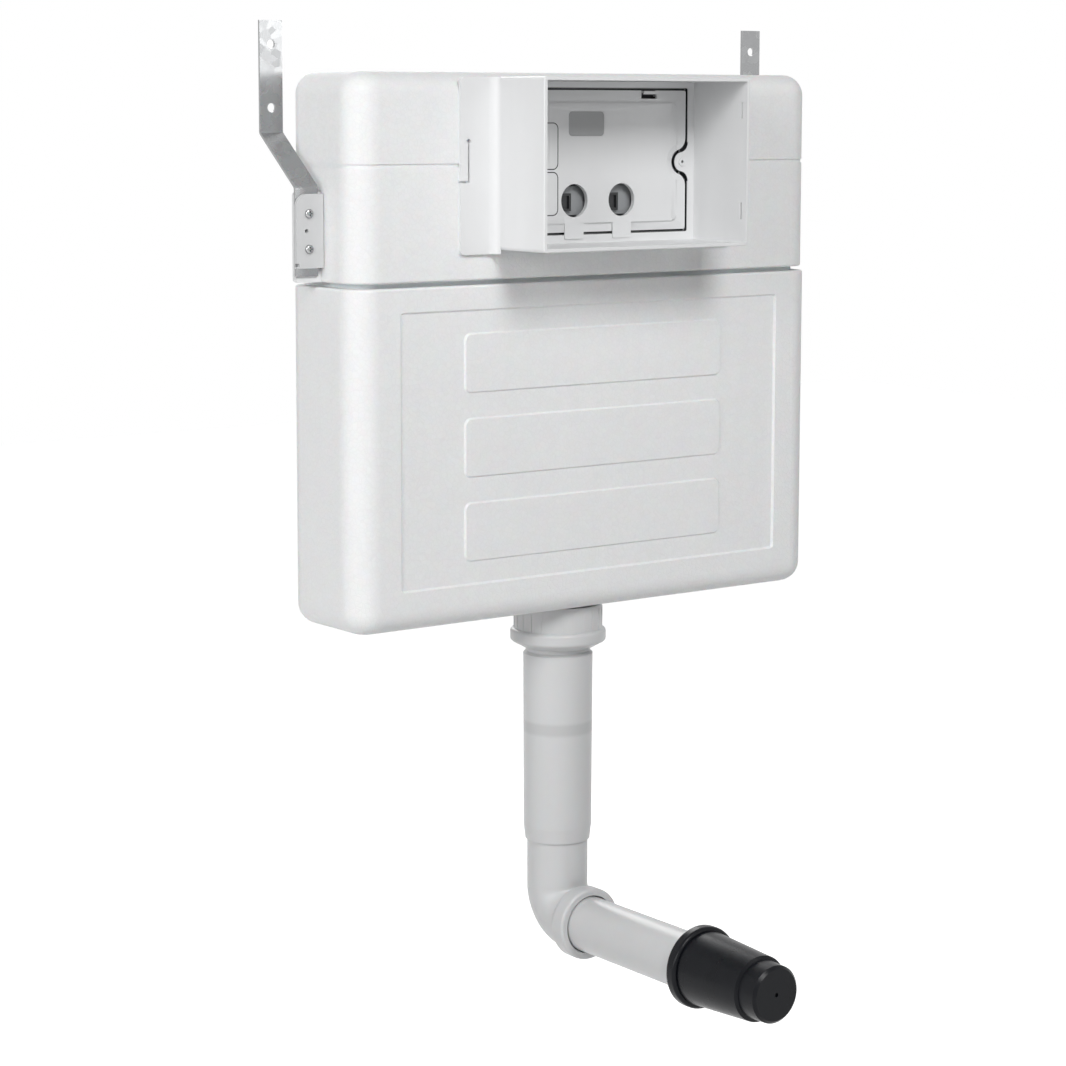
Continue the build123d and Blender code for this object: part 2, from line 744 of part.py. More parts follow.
mouth_low_z = stud_z - notch_r - plate_notch_seek
mouth_high_z = stud_z + notch_r + plate_notch_seek
for group in (mouth_edges[0], mouth_edges[-1]):
    near = group.filter_by_position(Axis.Z, mouth_low_z, mouth_high_z)
    plate = fillet(near, plate_notch_mouth_r)
plate -= front_slab(label_x[0], label_x[1], label_z[0], label_z[1], raised_front_y,
                    raised_front_y + label_deep, label_corner_r)
for side in (-1, 1):
    plate -= bar_y(side * push_x, push_z, push_r, raised_front_y, plate_back_y)
plate -= block(catch_x[0], catch_x[1], raised_front_y, plate_back_y, catch_notch_bottom_z, plate_top_z)
tab_low_z = plate_bottom_z - tab_drop
for x0, x1 in (tab_x, (-tab_x[1], -tab_x[0])):
    plate += block(x0, x1, plate_front_y - tab_thick, plate_front_y, tab_low_z, raised_bottom_z)
    plate -= block(x0, x1, upper_front_y - seat_clearance, plate_back_y, tab_low_z, plate_bottom_z)
save("splash_plate", plate)

# Blank label in the splash plate's shallow field
label = front_slab(label_x[0] + slide_clearance, label_x[1] - slide_clearance, label_z[0] + slide_clearance,
                   label_z[1] - slide_clearance, raised_front_y + label_deep - label_thick,
                   raised_front_y + label_deep, label_corner_r - slide_clearance)
save("blank_label", label)

# Spring catch at the top of the splash plate's opening
catch_in_x = catch_x[0] + catch_side_gap
catch_out_x = catch_x[1] - catch_side_gap
catch = block(catch_in_x, catch_out_x, catch_front_y, ledge_front_y, catch_tongue_z - catch_thick / 2,
              catch_tongue_z + catch_thick / 2)
catch += block(catch_in_x, catch_out_x, catch_front_y, catch_front_y + catch_thick,
               catch_tongue_z - catch_lip, catch_tongue_z + catch_thick / 2)
save("plate_catch", catch)

# Bridge that carries the two flush levers
bridge = block(-bridge_end_in_x, bridge_end_in_x, *bridge_bar_y, *bridge_bar_z)
for middle_x in (-cheek_x, 0, cheek_x):
    bridge += block(middle_x - cheek_thick / 2, middle_x + cheek_thick / 2, bridge_bar_y[0], cheek_back_y,
                    cheek_bottom_z, bridge_bar_z[1])
bridge_out_x = mouth_half_x - slide_clearance
end = block(bridge_end_in_x, bridge_out_x, bridge_end_front_y, bridge_bar_y[1], *bridge_end_z)
end += block(bridge_end_in_x, bridge_out_x + bridge_barb, wall_inner_y + snap_clearance, bridge_barb_back_y,
             *bridge_barb_z)
bridge += end + mirrored(end)
bridge -= bar_x(pivot_y, pivot_z, pin_r, -pin_half_x, pin_half_x)
save("lever_bridge", bridge)
save("lever_pin", bar_x(pivot_y, pivot_z, pin_r, -pin_half_x, pin_half_x))


def flush_lever():
    """The lever on the right: pad behind the hole, hub on the pin, arm under the lift rod's head."""
    x0 = push_x - arm_half_x
    x1 = push_x + arm_half_x
    lever = bar_x(pivot_y, pivot_z, hub_r, hub_in_x, hub_out_x)
    lever += side_plate(lever_arm_front, x0, x1)
    lever += side_plate(lever_arm_back, x0, x1)
    lever += front_slab(push_x - lever_pad_half_x, push_x + lever_pad_half_x, push_z - lever_pad_half_z,
                        push_z + lever_pad_half_z, *lever_pad_y, lever_pad_corner_r)
    slot = bar_z(push_x, valve_y - rod_slot_half, rod_slot_r, cheek_bottom_z, bridge_bar_z[0])
    slot += bar_z(push_x, valve_y + rod_slot_half, rod_slot_r, cheek_bottom_z, bridge_bar_z[0])
    slot += block(push_x - rod_slot_r, push_x + rod_slot_r, valve_y - rod_slot_half, valve_y + rod_slot_half,
                  cheek_bottom_z, bridge_bar_z[0])
    lever -= slot
    lever -= bar_x(pivot_y, pivot_z, pin_r + pin_clearance, hub_in_x, hub_out_x)
    return lever


right_lever = flush_lever()
save("full_lever", right_lever)
save("half_lever", mirrored(right_lever))

# Push rod sockets clipped on the levers' pads
rod_socket_deep_y = rod_socket_front_y + rod_socket_deep
low_z = push_z + rod_socket_z[0]
high_z = push_z + rod_socket_z[1]
for name, middle_x in (("full_rod_socket", push_x), ("half_rod_socket", -push_x)):
    low_x = middle_x + rod_socket_x[0]
    high_x = middle_x + rod_socket_x[1]
    rod_socket = block(low_x, high_x, rod_socket_front_y, lever_pad_y[0], low_z, high_z)
    rod_socket -= block(low_x + rod_socket_wall, high_x - rod_socket_wall, rod_socket_front_y,
                        rod_socket_deep_y, low_z + rod_socket_wall, high_z - rod_socket_wall)
    save(name, rod_socket)

# Torsion springs on the lever pin
spring_start_x = push_x + arm_half_x + spring_side_gap
spring_end_x = spring_start_x + spring_pitch * spring_turns
spring_end_y = pivot_y + spring_coil_r
spring_corners = ((-1, 1), (-1, -1), (1, -1), (1, 1))
spring_points = [(spring_start_x, spring_leg_back_y, pivot_z + spring_coil_r)]
for corner in range(round(4 * spring_turns)):
    side_y, side_z = spring_corners[corner % 4]
    spring_points.append((spring_start_x + spring_pitch * (corner + 1) / 4, pivot_y + side_y * spring_coil_r,
                          pivot_z + side_z * spring_coil_r))
spring_points.append((spring_end_x, spring_end_y, spring_leg_top_z))
spring_points.append((spring_end_x, bridge_bar_y[1], spring_leg_top_z))
spring_radii = [spring_coil_r * spring_round_share] * round(4 * spring_turns) + [spring_leg_bend]
spring_path = FilletPolyline(*spring_points, radius=spring_radii)
spring_profile = Plane(origin=spring_path @ 0, z_dir=spring_path % 0) * Circle(spring_wire_r)
spring = sweep(spring_profile, spring_path)
print("spring volume", spring.volume, "section times length", pi * spring_wire_r ** 2 * spring_path.length)
coil_points = [spring_path @ (step / coil_samples) for step in range(coil_samples + 1)]
turn_samples = round(coil_samples * pi * spring_coil_r / spring_path.length)
coil_gaps = [(far - near).length for first, near in enumerate(coil_points)
             for far in coil_points[first + turn_samples:]]
print("coil's least gap to itself", min(coil_gaps) - 2 * spring_wire_r)
save("full_lever_spring", spring)
save("half_lever_spring", mirrored(spring))

# Valve basket: flange on the tank floor, threaded tail through it, seat and cage
floor_z = tank_bottom_z + tank_wall
flange_low_z = floor_z + basket_washer_thick
flange_high_z = flange_low_z + basket_flange_thick
basket = bar_z(0, valve_y, basket_flange_r, flange_low_z, flange_high_z)
basket += bar_z(0, valve_y, basket_tail_r, basket_tail_bottom_z, flange_low_z)
basket += bar_z(0, valve_y, seat_in_r + seat_lip, flange_high_z, seat_top_z)
basket -= bar_z(0, valve_y, seat_in_r, floor_z, seat_top_z)
basket -= bar_z(0, valve_y, basket_bore_r, basket_tail_bottom_z, floor_z)
cage_ring = bar_z(0, valve_y, cage_out_r, cage_top_z - cage_ring_high, cage_top_z)
cage_ring -= bar_z(0, valve_y, cage_ring_in_r, cage_top_z - cage_ring_high, cage_top_z)
guide_in_r = tube_r + guide_clearance
guide = bar_z(0, valve_y, guide_out_r, cage_top_z - cage_ring_high, cage_top_z)
spoke = block(-spoke_wide / 2, spoke_wide / 2, guide_in_r, cage_ring_in_r + spoke_wide / 2,
              cage_top_z - cage_ring_high, cage_top_z)
for turn in (0, 90, 180, 270):
    guide += Pos(0, valve_y, 0) * Rot(0, 0, turn) * spoke
guide -= bar_z(0, valve_y, guide_in_r, cage_top_z - cage_ring_high, cage_top_z)
cage = cage_ring + guide
for turn in (0, 90, 180, 270):
    strut = block(-strut_wide / 2, strut_wide / 2, cage_out_r - strut_thick - spoke_wide / 2,
                  cage_out_r - spoke_wide / 2, flange_high_z, cage_top_z - cage_ring_high)
    cage += Pos(0, valve_y, 0) * Rot(0, 0, turn) * strut
basket += cage
save("valve_basket", basket)

washer = bar_z(0, valve_y, basket_flange_r, floor_z, flange_low_z)
washer -= bar_z(0, valve_y, basket_tail_r, floor_z, flange_low_z)
save("basket_washer", washer)

back_nut_outline = RegularPolygon(back_nut_r, back_nut_side_count)
back_nut = Pos(0, valve_y, tank_bottom_z - back_nut_high) * extrude(back_nut_outline, back_nut_high)
back_nut -= bar_z(0, valve_y, basket_tail_r, tank_bottom_z - back_nut_high, tank_bottom_z)
save("back_nut", back_nut)

# Overflow tube with its foot, rubber seal and full flush rod
seal_low_z = seat_top_z + seat_clearance
foot_low_z = seal_low_z + seal_thick
tube = bar_z(0, valve_y, tube_r, foot_low_z, tube_top_z)
tube += bar_z(0, valve_y, foot_r, foot_low_z, foot_low_z + foot_thick)
tube += bar_z(0, valve_y, seal_in_r, seal_low_z, foot_low_z)
tube -= bar_z(0, valve_y, tube_r - tube_wall, seal_low_z, tube_top_z)
save("overflow_tube", tube)

seal = bar_z(0, valve_y, seal_out_r, seal_low_z, foot_low_z)
seal -= bar_z(0, valve_y, seal_in_r, seal_low_z, foot_low_z)
save("valve_seal", seal)

full_rod = bar_z(0, valve_y, collar_out_r, *collar_z)
full_rod += block(0, push_x, valve_y - collar_arm_wide / 2, valve_y + collar_arm_wide / 2, *collar_z)
full_rod += bar_z(push_x, valve_y, collar_arm_wide / 2, *collar_z)
full_rod -= bar_z(0, valve_y, tube_r, *collar_z)
full_rod += bar_z(push_x, valve_y, rod_r, collar_z[0], rod_head_z[1])
full_rod += bar_z(push_x, valve_y, rod_head_r, *rod_head_z)
save("full_lift_rod", full_rod)

# Half flush float round the tube, with its rod
half_low_z = cage_top_z + seat_clearance
half_high_z = half_low_z + half_float_high
half_float = bar_z(0, valve_y, half_float_r, half_low_z, half_high_z)
cup = bar_z(0, valve_y, half_float_r - half_float_wall, half_low_z, half_high_z - half_float_wall)
cup -= bar_z(0, valve_y, guide_in_r + half_float_wall, half_low_z, half_high_z - half_float_wall)
half_float -= cup
half_float -= bar_z(0, valve_y, guide_in_r, half_low_z, half_high_z)
half_float += bar_z(-push_x, valve_y, rod_r + half_float_wall, half_high_z, half_high_z + half_rod_seat)
half_float -= bar_z(-push_x, valve_y, rod_r, half_high_z, half_high_z + half_rod_seat)
save("half_float", half_float)

half_rod = bar_z(-push_x, valve_y, rod_r, half_high_z, rod_head_z[1])
half_rod += bar_z(-push_x, valve_y, rod_head_r, *rod_head_z)
save("half_lift_rod", half_rod)

# Coupling nut with grip ribs and a bead
nut_foot_in_r = spigot_r + slide_clearance
nut_points = ((basket_tail_r, nut_top_z), (nut_skirt_r, nut_top_z), (nut_skirt_r, nut_skirt_bottom_z),
              (nut_bead_r, nut_skirt_bottom_z), (nut_bead_r, nut_bead_bottom_z), (nut_foot_r, nut_bottom_z),
              (nut_foot_in_r, nut_bottom_z), (nut_foot_in_r, seal_ring_bottom_z),
              (basket_tail_r, seal_ring_bottom_z))
nut = turned_z(nut_points, 0, valve_y)
bead_edges = circles_of(nut, nut_bead_r)
nut = fillet(bead_edges, nut_bead_round)
rib_in_r = nut_skirt_r - nut_rib_proud
for step in range(nut_rib_count):
    rib = block(rib_in_r, nut_skirt_r + nut_rib_proud, -nut_rib_wide / 2, nut_rib_wide / 2,
                nut_skirt_bottom_z, nut_top_z - nut_wall_step)
    nut += Pos(0, valve_y, 0) * Rot(0, 0, step * 360 / nut_rib_count) * rib
save("outlet_nut", nut)

# Cone seal under the basket's tail
ring_points = ((spigot_r, basket_tail_bottom_z), (seal_ring_out_r, basket_tail_bottom_z),
               (seal_ring_out_r, seal_ring_bottom_z), (spigot_r, seal_ring_bottom_z))
save("pipe_seal", turned_z(ring_points, 0, valve_y))

# Upper flush pipe: spigot in the basket's tail, wide sleeve below
sleeve_bore_r = pipe_r + slide_clearance
groove_r = sleeve_bore_r + ring_deep
sleeve_points = ((spigot_bore_r, spigot_top_z), (spigot_r, spigot_top_z), (spigot_r, sleeve_top_z),
                 (sleeve_top_r - sleeve_round, sleeve_top_z), (sleeve_top_r, sleeve_top_z - sleeve_round),
                 (sleeve_low_r, sleeve_low_z), (sleeve_end_r, sleeve_end_z), (sleeve_bore_r, sleeve_end_z),
                 (sleeve_bore_r, ring_z[0]), (groove_r, ring_z[0]), (groove_r, ring_z[1]),
                 (sleeve_bore_r, ring_z[1]), (sleeve_bore_r, sleeve_shoulder_z),
                 (spigot_bore_r, sleeve_shoulder_z))
save("flush_sleeve", turned_z(sleeve_points, 0, valve_y))

ring_in_r = pipe_r + pin_clearance
ring_points = ((ring_in_r, ring_z[0]), (groove_r, ring_z[0]), (groove_r, ring_z[1]), (ring_in_r, ring_z[1]))
save("sleeve_ring", turned_z(ring_points, 0, valve_y))

# Flush bend: pipe, elbow and socket
bend_start_z = outlet_z + bend_r
bend_end_y = valve_y - bend_r
arc_face = Plane.XY * Pos(0, valve_y) * Circle(pipe_r)
arc_hole = Plane.XY * Pos(0, valve_y) * Circle(pipe_r - pipe_wall)
turn_axis = Axis((0, bend_end_y, 0), (1, 0, 0))
elbow = Pos(0, 0, bend_start_z) * revolve(arc_face, turn_axis, -90)
elbow_hole = Pos(0, 0, bend_start_z) * revolve(arc_hole, turn_axis, -90)
bend = bar_z(0, valve_y, pipe_r, bend_start_z, pipe_top_z) + elbow
bend += turned_y(((0, bend_end_y), (pipe_r, bend_end_y), (socket_neck_r, socket_back_y), (0, socket_back_y)),
                 0, outlet_z)
socket = bar_y(0, outlet_z, socket_r, socket_front_y, socket_back_y)
bend += fillet(socket.edges().filter_by(GeomType.CIRCLE), socket_round)
bend -= bar_z(0, valve_y, pipe_r - pipe_wall, bend_start_z, pipe_top_z)
bend -= elbow_hole
bend -= bar_y(0, outlet_z, tail_r + slide_clearance, socket_front_y, tail_back_y + slide_clearance)
bend -= bar_y(0, outlet_z, tail_r + socket_mouth_gap, socket_front_y, socket_front_y + socket_mouth_deep)
bend_groove_r = tail_r + slide_clearance + bend_ring_deep
bend -= bar_y(0, outlet_z, bend_groove_r, *bend_ring_y)
save("flush_bend", bend)

ring_in_r = tail_r + pin_clearance
ring_points = ((ring_in_r, bend_ring_y[0]), (bend_groove_r, bend_ring_y[0]), (bend_groove_r, bend_ring_y[1]),
               (ring_in_r, bend_ring_y[1]))
save("bend_seal", turned_y(ring_points, 0, outlet_z))

# Tail pipe to the pan
tail = bar_y(0, outlet_z, tail_r, tail_front_y, tail_back_y)
tail -= bar_y(0, outlet_z, tail_r - tail_wall, tail_front_y, tail_back_y)
save("flush_tail", tail)

# Stepped rubber cap on the tail pipe
cap_bore_r = tail_r + pin_clearance
nose_start_y = cap_body_front_y - cap_step
cap_points = ((0, cap_tip_y), (cap_nose_tip_r - cap_tip_round, cap_tip_y),
              (cap_nose_tip_r, cap_tip_y + cap_tip_round),
              (cap_nose_r, nose_start_y), (cap_body_front_r, cap_body_front_y),
              (cap_body_back_r, cap_flange_front_y), (cap_flange_r, cap_flange_front_y),
              (cap_flange_r, cap_flange_back_y), (cap_bore_r, cap_flange_back_y),
              (cap_bore_r, tail_front_y - seat_clearance), (cap_pocket_r, tail_front_y - seat_clearance),
              (cap_pocket_r, cap_pocket_y), (0, cap_pocket_y))
cap = turned_y(cap_points, 0, outlet_z)
flange_edges = circles_of(cap, cap_flange_r)
cap = fillet(flange_edges, cap_flange_round)
cap -= bar_y(0, outlet_z, cap_dimple_r, cap_tip_y, cap_tip_y + cap_dimple_deep)
save("end_cap", cap)

# Water inlet through the right side
tank_side_in_x = tank_half_x - tank_wall
washer_in_x = tank_side_in_x - washer_thick
shoulder_in_x = washer_in_x - shoulder_thick
inlet = bar_x(inlet_y, inlet_z, inlet_thread_r, shoulder_in_x, inlet_end_x)
inlet += bar_x(inlet_y, inlet_z, shoulder_r, shoulder_in_x, washer_in_x)
inlet += bar_x(inlet_y, inlet_z, socket_boss_r, socket_boss_x, shoulder_in_x)
inlet -= bar_x(inlet_y, inlet_z, inlet_bore_r, socket_boss_x, inlet_end_x)
inlet -= bar_x(inlet_y, inlet_z, supply_r, socket_boss_x, supply_x[1])
inlet_nut_out_x = tank_half_x + inlet_nut_thick
inlet_groove_x = (inlet_nut_out_x, inlet_nut_out_x + inlet_groove_wide)
inlet_groove = bar_x(inlet_y, inlet_z, shoulder_r, *inlet_groove_x)
inlet -= inlet_groove - bar_x(inlet_y, inlet_z, inlet_groove_r, *inlet_groove_x)
save("inlet_tail", inlet)

inlet_washer = bar_x(inlet_y, inlet_z, shoulder_r, washer_in_x, tank_side_in_x)
inlet_washer -= bar_x(inlet_y, inlet_z, inlet_thread_r, washer_in_x, tank_side_in_x)
save("inlet_washer", inlet_washer)

hexagon = RegularPolygon(inlet_nut_flat / 2, 6, major_radius=False)
inlet_nut = Pos(tank_half_x, inlet_y, inlet_z) * Rot(0, 90, 0) * extrude(hexagon, inlet_nut_thick)
inlet_nut -= bar_x(inlet_y, inlet_z, inlet_thread_r, tank_half_x, inlet_nut_out_x)
save("inlet_nut", inlet_nut)

supply = bar_x(inlet_y, inlet_z, supply_r, *supply_x)
supply -= bar_x(inlet_y, inlet_z, supply_r - supply_wall, *supply_x)
save("supply_pipe", supply)

stop_valve = bar_x(inlet_y, inlet_z, stop_body_r, *stop_x)
stop_valve += bar_y(bonnet_x, inlet_z, bonnet_r, bonnet_front_y, inlet_y)
stop_valve -= bar_x(inlet_y, inlet_z, inlet_bore_r, *stop_x)
stop_valve -= bar_x(inlet_y, inlet_z, supply_r, supply_x[0], stop_x[1])
stop_valve -= bar_y(bonnet_x, inlet_z, spindle_r + pin_clearance, bonnet_front_y, spindle_back_y)
save("stop_valve", stop_valve)

handle = bar_y(bonnet_x, inlet_z, handle_hub_r, *handle_y)
handle += block(bonnet_x - handle_long, bonnet_x, *handle_y, inlet_z - handle_wide / 2,
                inlet_z + handle_wide / 2)
handle += bar_y(bonnet_x - handle_long, inlet_z, handle_wide / 2, *handle_y)
handle += bar_y(bonnet_x, inlet_z, spindle_r, handle_y[1], spindle_back_y - slide_clearance)
save("stop_handle", handle)

# Hose from the stop valve to the fill valve, with its two union nuts
hose_start = (stop_x[0], inlet_y, inlet_z)
hose_end = (fill_inlet_x, fill_y, inlet_z)
hose_points = [hose_start, (stop_x[0] - hose_straight, inlet_y, inlet_z), *hose_mid,
               (fill_inlet_x + hose_straight, fill_y, inlet_z), hose_end]
hose_radii = bend_radii(hose_points, hose_bend_share)
hose_path = FilletPolyline(*hose_points, radius=hose_radii)
hose_face = Plane(origin=hose_start, z_dir=(-1, 0, 0)) * (Circle(hose_r) - Circle(hose_bore_r))
print("hose radii", [round(radius) for radius in hose_radii])
save("fill_hose", sweep(hose_face, hose_path))

hose_hexagon = RegularPolygon(hose_nut_r, hose_nut_side_count)
hose_plug = bar_x(0, 0, hose_r, 0, hose_nut_long)
hose_nut = Rot(0, 90, 0) * extrude(hose_hexagon, hose_nut_long) - hose_plug
near_nut = Pos(stop_x[0] - hose_nut_long, inlet_y, inlet_z) * hose_nut
far_nut = Pos(fill_inlet_x, fill_y, inlet_z) * hose_nut
hose_clear = sweep(Plane(origin=hose_start, z_dir=(-1, 0, 0)) * Circle(hose_r), hose_path)
save("hose_nuts", Compound(children=[near_nut - hose_clear, far_nut - hose_clear]))

# Fill valve with its shank
fill = bar_z(fill_x, fill_y, fill_r, *fill_z)
fill += bar_z(fill_x, fill_y, fill_cap_r, fill_z[1], fill_z[1] + fill_cap_high)
fill += bar_x(fill_y, inlet_z, fill_inlet_r, fill_x, fill_inlet_x)
fill += bar_z(fill_x, fill_y, shank_r, shank_bottom_z, fill_z[0])
fill += bar_z(fill_x, fill_y, stop_flange_r, float_bottom_z - seat_clearance - stop_flange_thick,
              float_bottom_z - seat_clearance)
fill += bar_y(float_arm_x, float_arm_z, float_boss_r, float_arm_y[1], fill_y)
fill -= bar_y(float_arm_x, float_arm_z, float_pin_r, float_arm_y[1], fill_y)
fill -= bar_z(fill_x, fill_y, shank_r - shank_wall, shank_bottom_z, fill_z[0])
fill -= bar_x(fill_y, inlet_z, hose_bore_r, fill_x, fill_inlet_x)
save("fill_valve", fill)

hold_back_y = tank_back_y - tank_wall
hold_front_y = hold_back_y - hold_plate_thick
hold = block(fill_x - hold_x, fill_x + hold_x, hold_front_y, hold_back_y, *hold_z)
hold += block(fill_x - hold_arm_half, fill_x + hold_arm_half, fill_y, hold_front_y, *hold_z)
hold -= bar_z(fill_x, fill_y, fill_r, *hold_z)
save("fill_bracket", hold)

# Float, its rod and the arm that closes the valve
float_top_z = float_bottom_z + float_high
float_outline = RectangleRounded(2 * float_half_x, 2 * float_half_y, float_corner_r)
float_cup = Pos(fill_x, fill_y, float_bottom_z) * extrude(float_outline, float_high)
hollow_outline = RectangleRounded(2 * (float_half_x - float_wall), 2 * (float_half_y - float_wall),
                                  float_corner_r - float_wall)
float_hollow = Pos(fill_x, fill_y, float_bottom_z) * extrude(hollow_outline, float_high - float_wall)
float_guide_r = shank_r + slide_clearance
float_hollow -= bar_z(fill_x, fill_y, float_guide_r + float_wall, float_bottom_z, float_top_z)
float_hollow -= bar_z(fill_x, fill_y, stop_flange_r + float_wall, float_bottom_z, float_bottom_z + float_wall)
float_cup -= float_hollow
float_cup -= bar_z(fill_x, fill_y, float_guide_r, float_bottom_z, float_top_z)
save("float_cup", float_cup)

float_rod = bar_z(float_rod_x, float_rod_y, float_rod_r, float_top_z, float_rod_top_z)
float_rod += bar_z(float_rod_x, float_rod_y, float_head_r, float_rod_top_z, float_rod_top_z + float_head_high)
float_rod += bar_z(float_rod_x, float_rod_y, float_head_r, *float_collar_z)
float_rod += bar_z(float_rod_x, float_rod_y, float_head_r, float_top_z, float_top_z + float_head_high)
save("float_rod", float_rod)

arm_low_z = float_arm_z - float_arm_high / 2
arm_high_z = float_arm_z + float_arm_high / 2
float_arm = bar_y(float_arm_x, float_arm_z, float_arm_hub_r, *float_arm_y)
float_arm += block(float_rod_x - float_slot_half - float_head_r, float_arm_x, *float_arm_y, arm_low_z,
                   arm_high_z)
slot_r = float_rod_r + slide_clearance
float_arm -= block(float_rod_x - float_slot_half, float_rod_x + float_slot_half, float_rod_y - slot_r,
                   float_rod_y + slot_r, arm_low_z, arm_high_z)
float_arm -= bar_y(float_arm_x, float_arm_z, float_pin_r + pin_clearance, *float_arm_y)
save("float_arm", float_arm)

pin_head_y = float_arm_y[0] - slide_clearance
float_pin = bar_y(float_arm_x, float_arm_z, float_pin_r, pin_head_y, fill_y)
float_pin += bar_y(float_arm_x, float_arm_z, float_pin_r * 2, pin_head_y - float_pin_r, pin_head_y)
save("float_pin", float_pin)
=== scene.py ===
# %% [markdown]
# # A cistern that hides in the wall
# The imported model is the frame: every solid is already where it belongs, in metres, with the wall at y = 0,
# +Z up and the front towards -Y. This scene gives each solid the finish of its real material, adds the small
# turned and moulded details, and sets a camera and soft lamps as in the photograph.

import json
import math

import bmesh
import bpy
from mathutils import Matrix, Vector


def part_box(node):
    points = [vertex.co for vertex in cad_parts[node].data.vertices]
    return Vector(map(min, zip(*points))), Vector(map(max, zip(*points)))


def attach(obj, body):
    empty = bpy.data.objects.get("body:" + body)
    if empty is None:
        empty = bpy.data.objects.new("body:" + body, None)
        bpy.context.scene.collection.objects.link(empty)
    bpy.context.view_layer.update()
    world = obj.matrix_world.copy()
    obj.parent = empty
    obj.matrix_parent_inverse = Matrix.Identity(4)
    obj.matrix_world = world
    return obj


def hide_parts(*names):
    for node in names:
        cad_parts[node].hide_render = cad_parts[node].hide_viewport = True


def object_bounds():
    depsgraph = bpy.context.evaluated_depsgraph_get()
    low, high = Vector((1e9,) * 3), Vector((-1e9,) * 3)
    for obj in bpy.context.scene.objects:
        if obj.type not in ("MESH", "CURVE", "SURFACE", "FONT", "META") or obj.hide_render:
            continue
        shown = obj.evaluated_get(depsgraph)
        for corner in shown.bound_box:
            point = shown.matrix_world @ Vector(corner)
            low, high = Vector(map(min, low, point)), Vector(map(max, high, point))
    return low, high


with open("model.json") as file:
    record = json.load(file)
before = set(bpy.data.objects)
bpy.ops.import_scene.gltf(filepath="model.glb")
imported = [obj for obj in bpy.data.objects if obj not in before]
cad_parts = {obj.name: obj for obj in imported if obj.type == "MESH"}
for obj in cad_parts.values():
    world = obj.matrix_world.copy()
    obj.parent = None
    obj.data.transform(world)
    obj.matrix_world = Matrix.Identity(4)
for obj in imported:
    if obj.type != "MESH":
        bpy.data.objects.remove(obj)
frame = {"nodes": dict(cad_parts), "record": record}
nodes = frame["nodes"]
cad_low, cad_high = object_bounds()
MM = 0.001
print("frame loaded with", len(nodes), "nodes")

# %% [markdown]
# ## Camera
# A product photographer keeps the uprights upright with a shifted lens. A large shift would push the object
# out of the other views, so most of it is a small downward tilt here, and only a little is shift. Place,
# turn, tilt and focal length come from a fit to the edges of the tank, the straps and the pipes.

# %% Camera
CAMERA_PLACE = Vector((-1362.4, -1838.8, -21.3)) * MM
CAMERA_TURN_DEG = 36.723
CAMERA_TILT_DEG = 6.997
CAMERA_ROLL_DEG = 0.106
CAMERA_LENS = 94.41
CAMERA_SHIFT = -0.08
SENSOR_WIDE = 36.0
NEAREST = 0.05
FARTHEST = 30.0

camera_data = bpy.data.cameras.new("camera")
camera_data.lens = CAMERA_LENS
camera_data.sensor_width = SENSOR_WIDE
camera_data.shift_y = CAMERA_SHIFT
camera_data.clip_start = NEAREST
camera_data.clip_end = FARTHEST
camera = bpy.data.objects.new("camera", camera_data)
bpy.context.collection.objects.link(camera)
camera.location = CAMERA_PLACE
aim = Matrix.Rotation(math.radians(-CAMERA_TURN_DEG), 3, "Z")
aim = aim @ Matrix.Rotation(math.radians(90 - CAMERA_TILT_DEG), 3, "X")
aim = aim @ Matrix.Rotation(math.radians(CAMERA_ROLL_DEG), 3, "Z")
camera.rotation_euler = aim.to_euler()
bpy.context.scene.camera = camera
print("camera at", [round(value, 3) for value in camera.location])

# %% [markdown]
# ## Helpers for node trees
# A material is a small graph. Helpers keep the code short: one adds a node, one joins two sockets or sets a
# number, and one makes a Math node from its operation and its inputs.


# %% Node helpers
def add_node(tree, kind, **settings):
    """A new node with its properties set."""
    node = tree.nodes.new(kind)
    for name, value in settings.items():
        setattr(node, name, value)
    return node


def feed(tree, source, target):
    """Join a socket to a socket, or set the target's own value."""
    if isinstance(source, bpy.types.NodeSocket):
        tree.links.new(source, target)
    else:
        target.default_value = source


def math_of(tree, operation, *sources):
    """The output of a Math node."""
    node = add_node(tree, "ShaderNodeMath", operation=operation)
    for source, target in zip(sources, node.inputs):
        feed(tree, source, target)
    return node.outputs[0]


def ramp_of(tree, source, low, high):
    """0 below low, 1 above high, and a smooth step between."""
    node = add_node(tree, "ShaderNodeMapRange", interpolation_type="SMOOTHSTEP")
    feed(tree, source, node.inputs["Value"])
    feed(tree, low, node.inputs["From Min"])
    feed(tree, high, node.inputs["From Max"])
    return node.outputs["Result"]


def noise_of(tree, place, scale, detail):
    """A noise texture's value on a place."""
    node = add_node(tree, "ShaderNodeTexNoise")
    feed(tree, place, node.inputs["Vector"])
    feed(tree, scale, node.inputs["Scale"])
    feed(tree, detail, node.inputs["Detail"])
    return node.outputs["Fac"]


def stretched(tree, place, scale):
    """A place squeezed or stretched along the axes."""
    node = add_node(tree, "ShaderNodeMapping")
    feed(tree, place, node.inputs["Vector"])
    feed(tree, scale, node.inputs["Scale"])
    return node.outputs["Vector"]


def toned(tree, color, factor):
    """A colour made lighter or darker."""
    node = add_node(tree, "ShaderNodeVectorMath", operation="SCALE")
    feed(tree, color, node.inputs[0])
    feed(tree, factor, node.inputs["Scale"])
    return node.outputs[0]


def bumped(tree, height, strength, distance):
    """A normal from a height."""
    node = add_node(tree, "ShaderNodeBump")
    feed(tree, height, node.inputs["Height"])
    feed(tree, strength, node.inputs["Strength"])
    feed(tree, distance, node.inputs["Distance"])
    return node.outputs["Normal"]


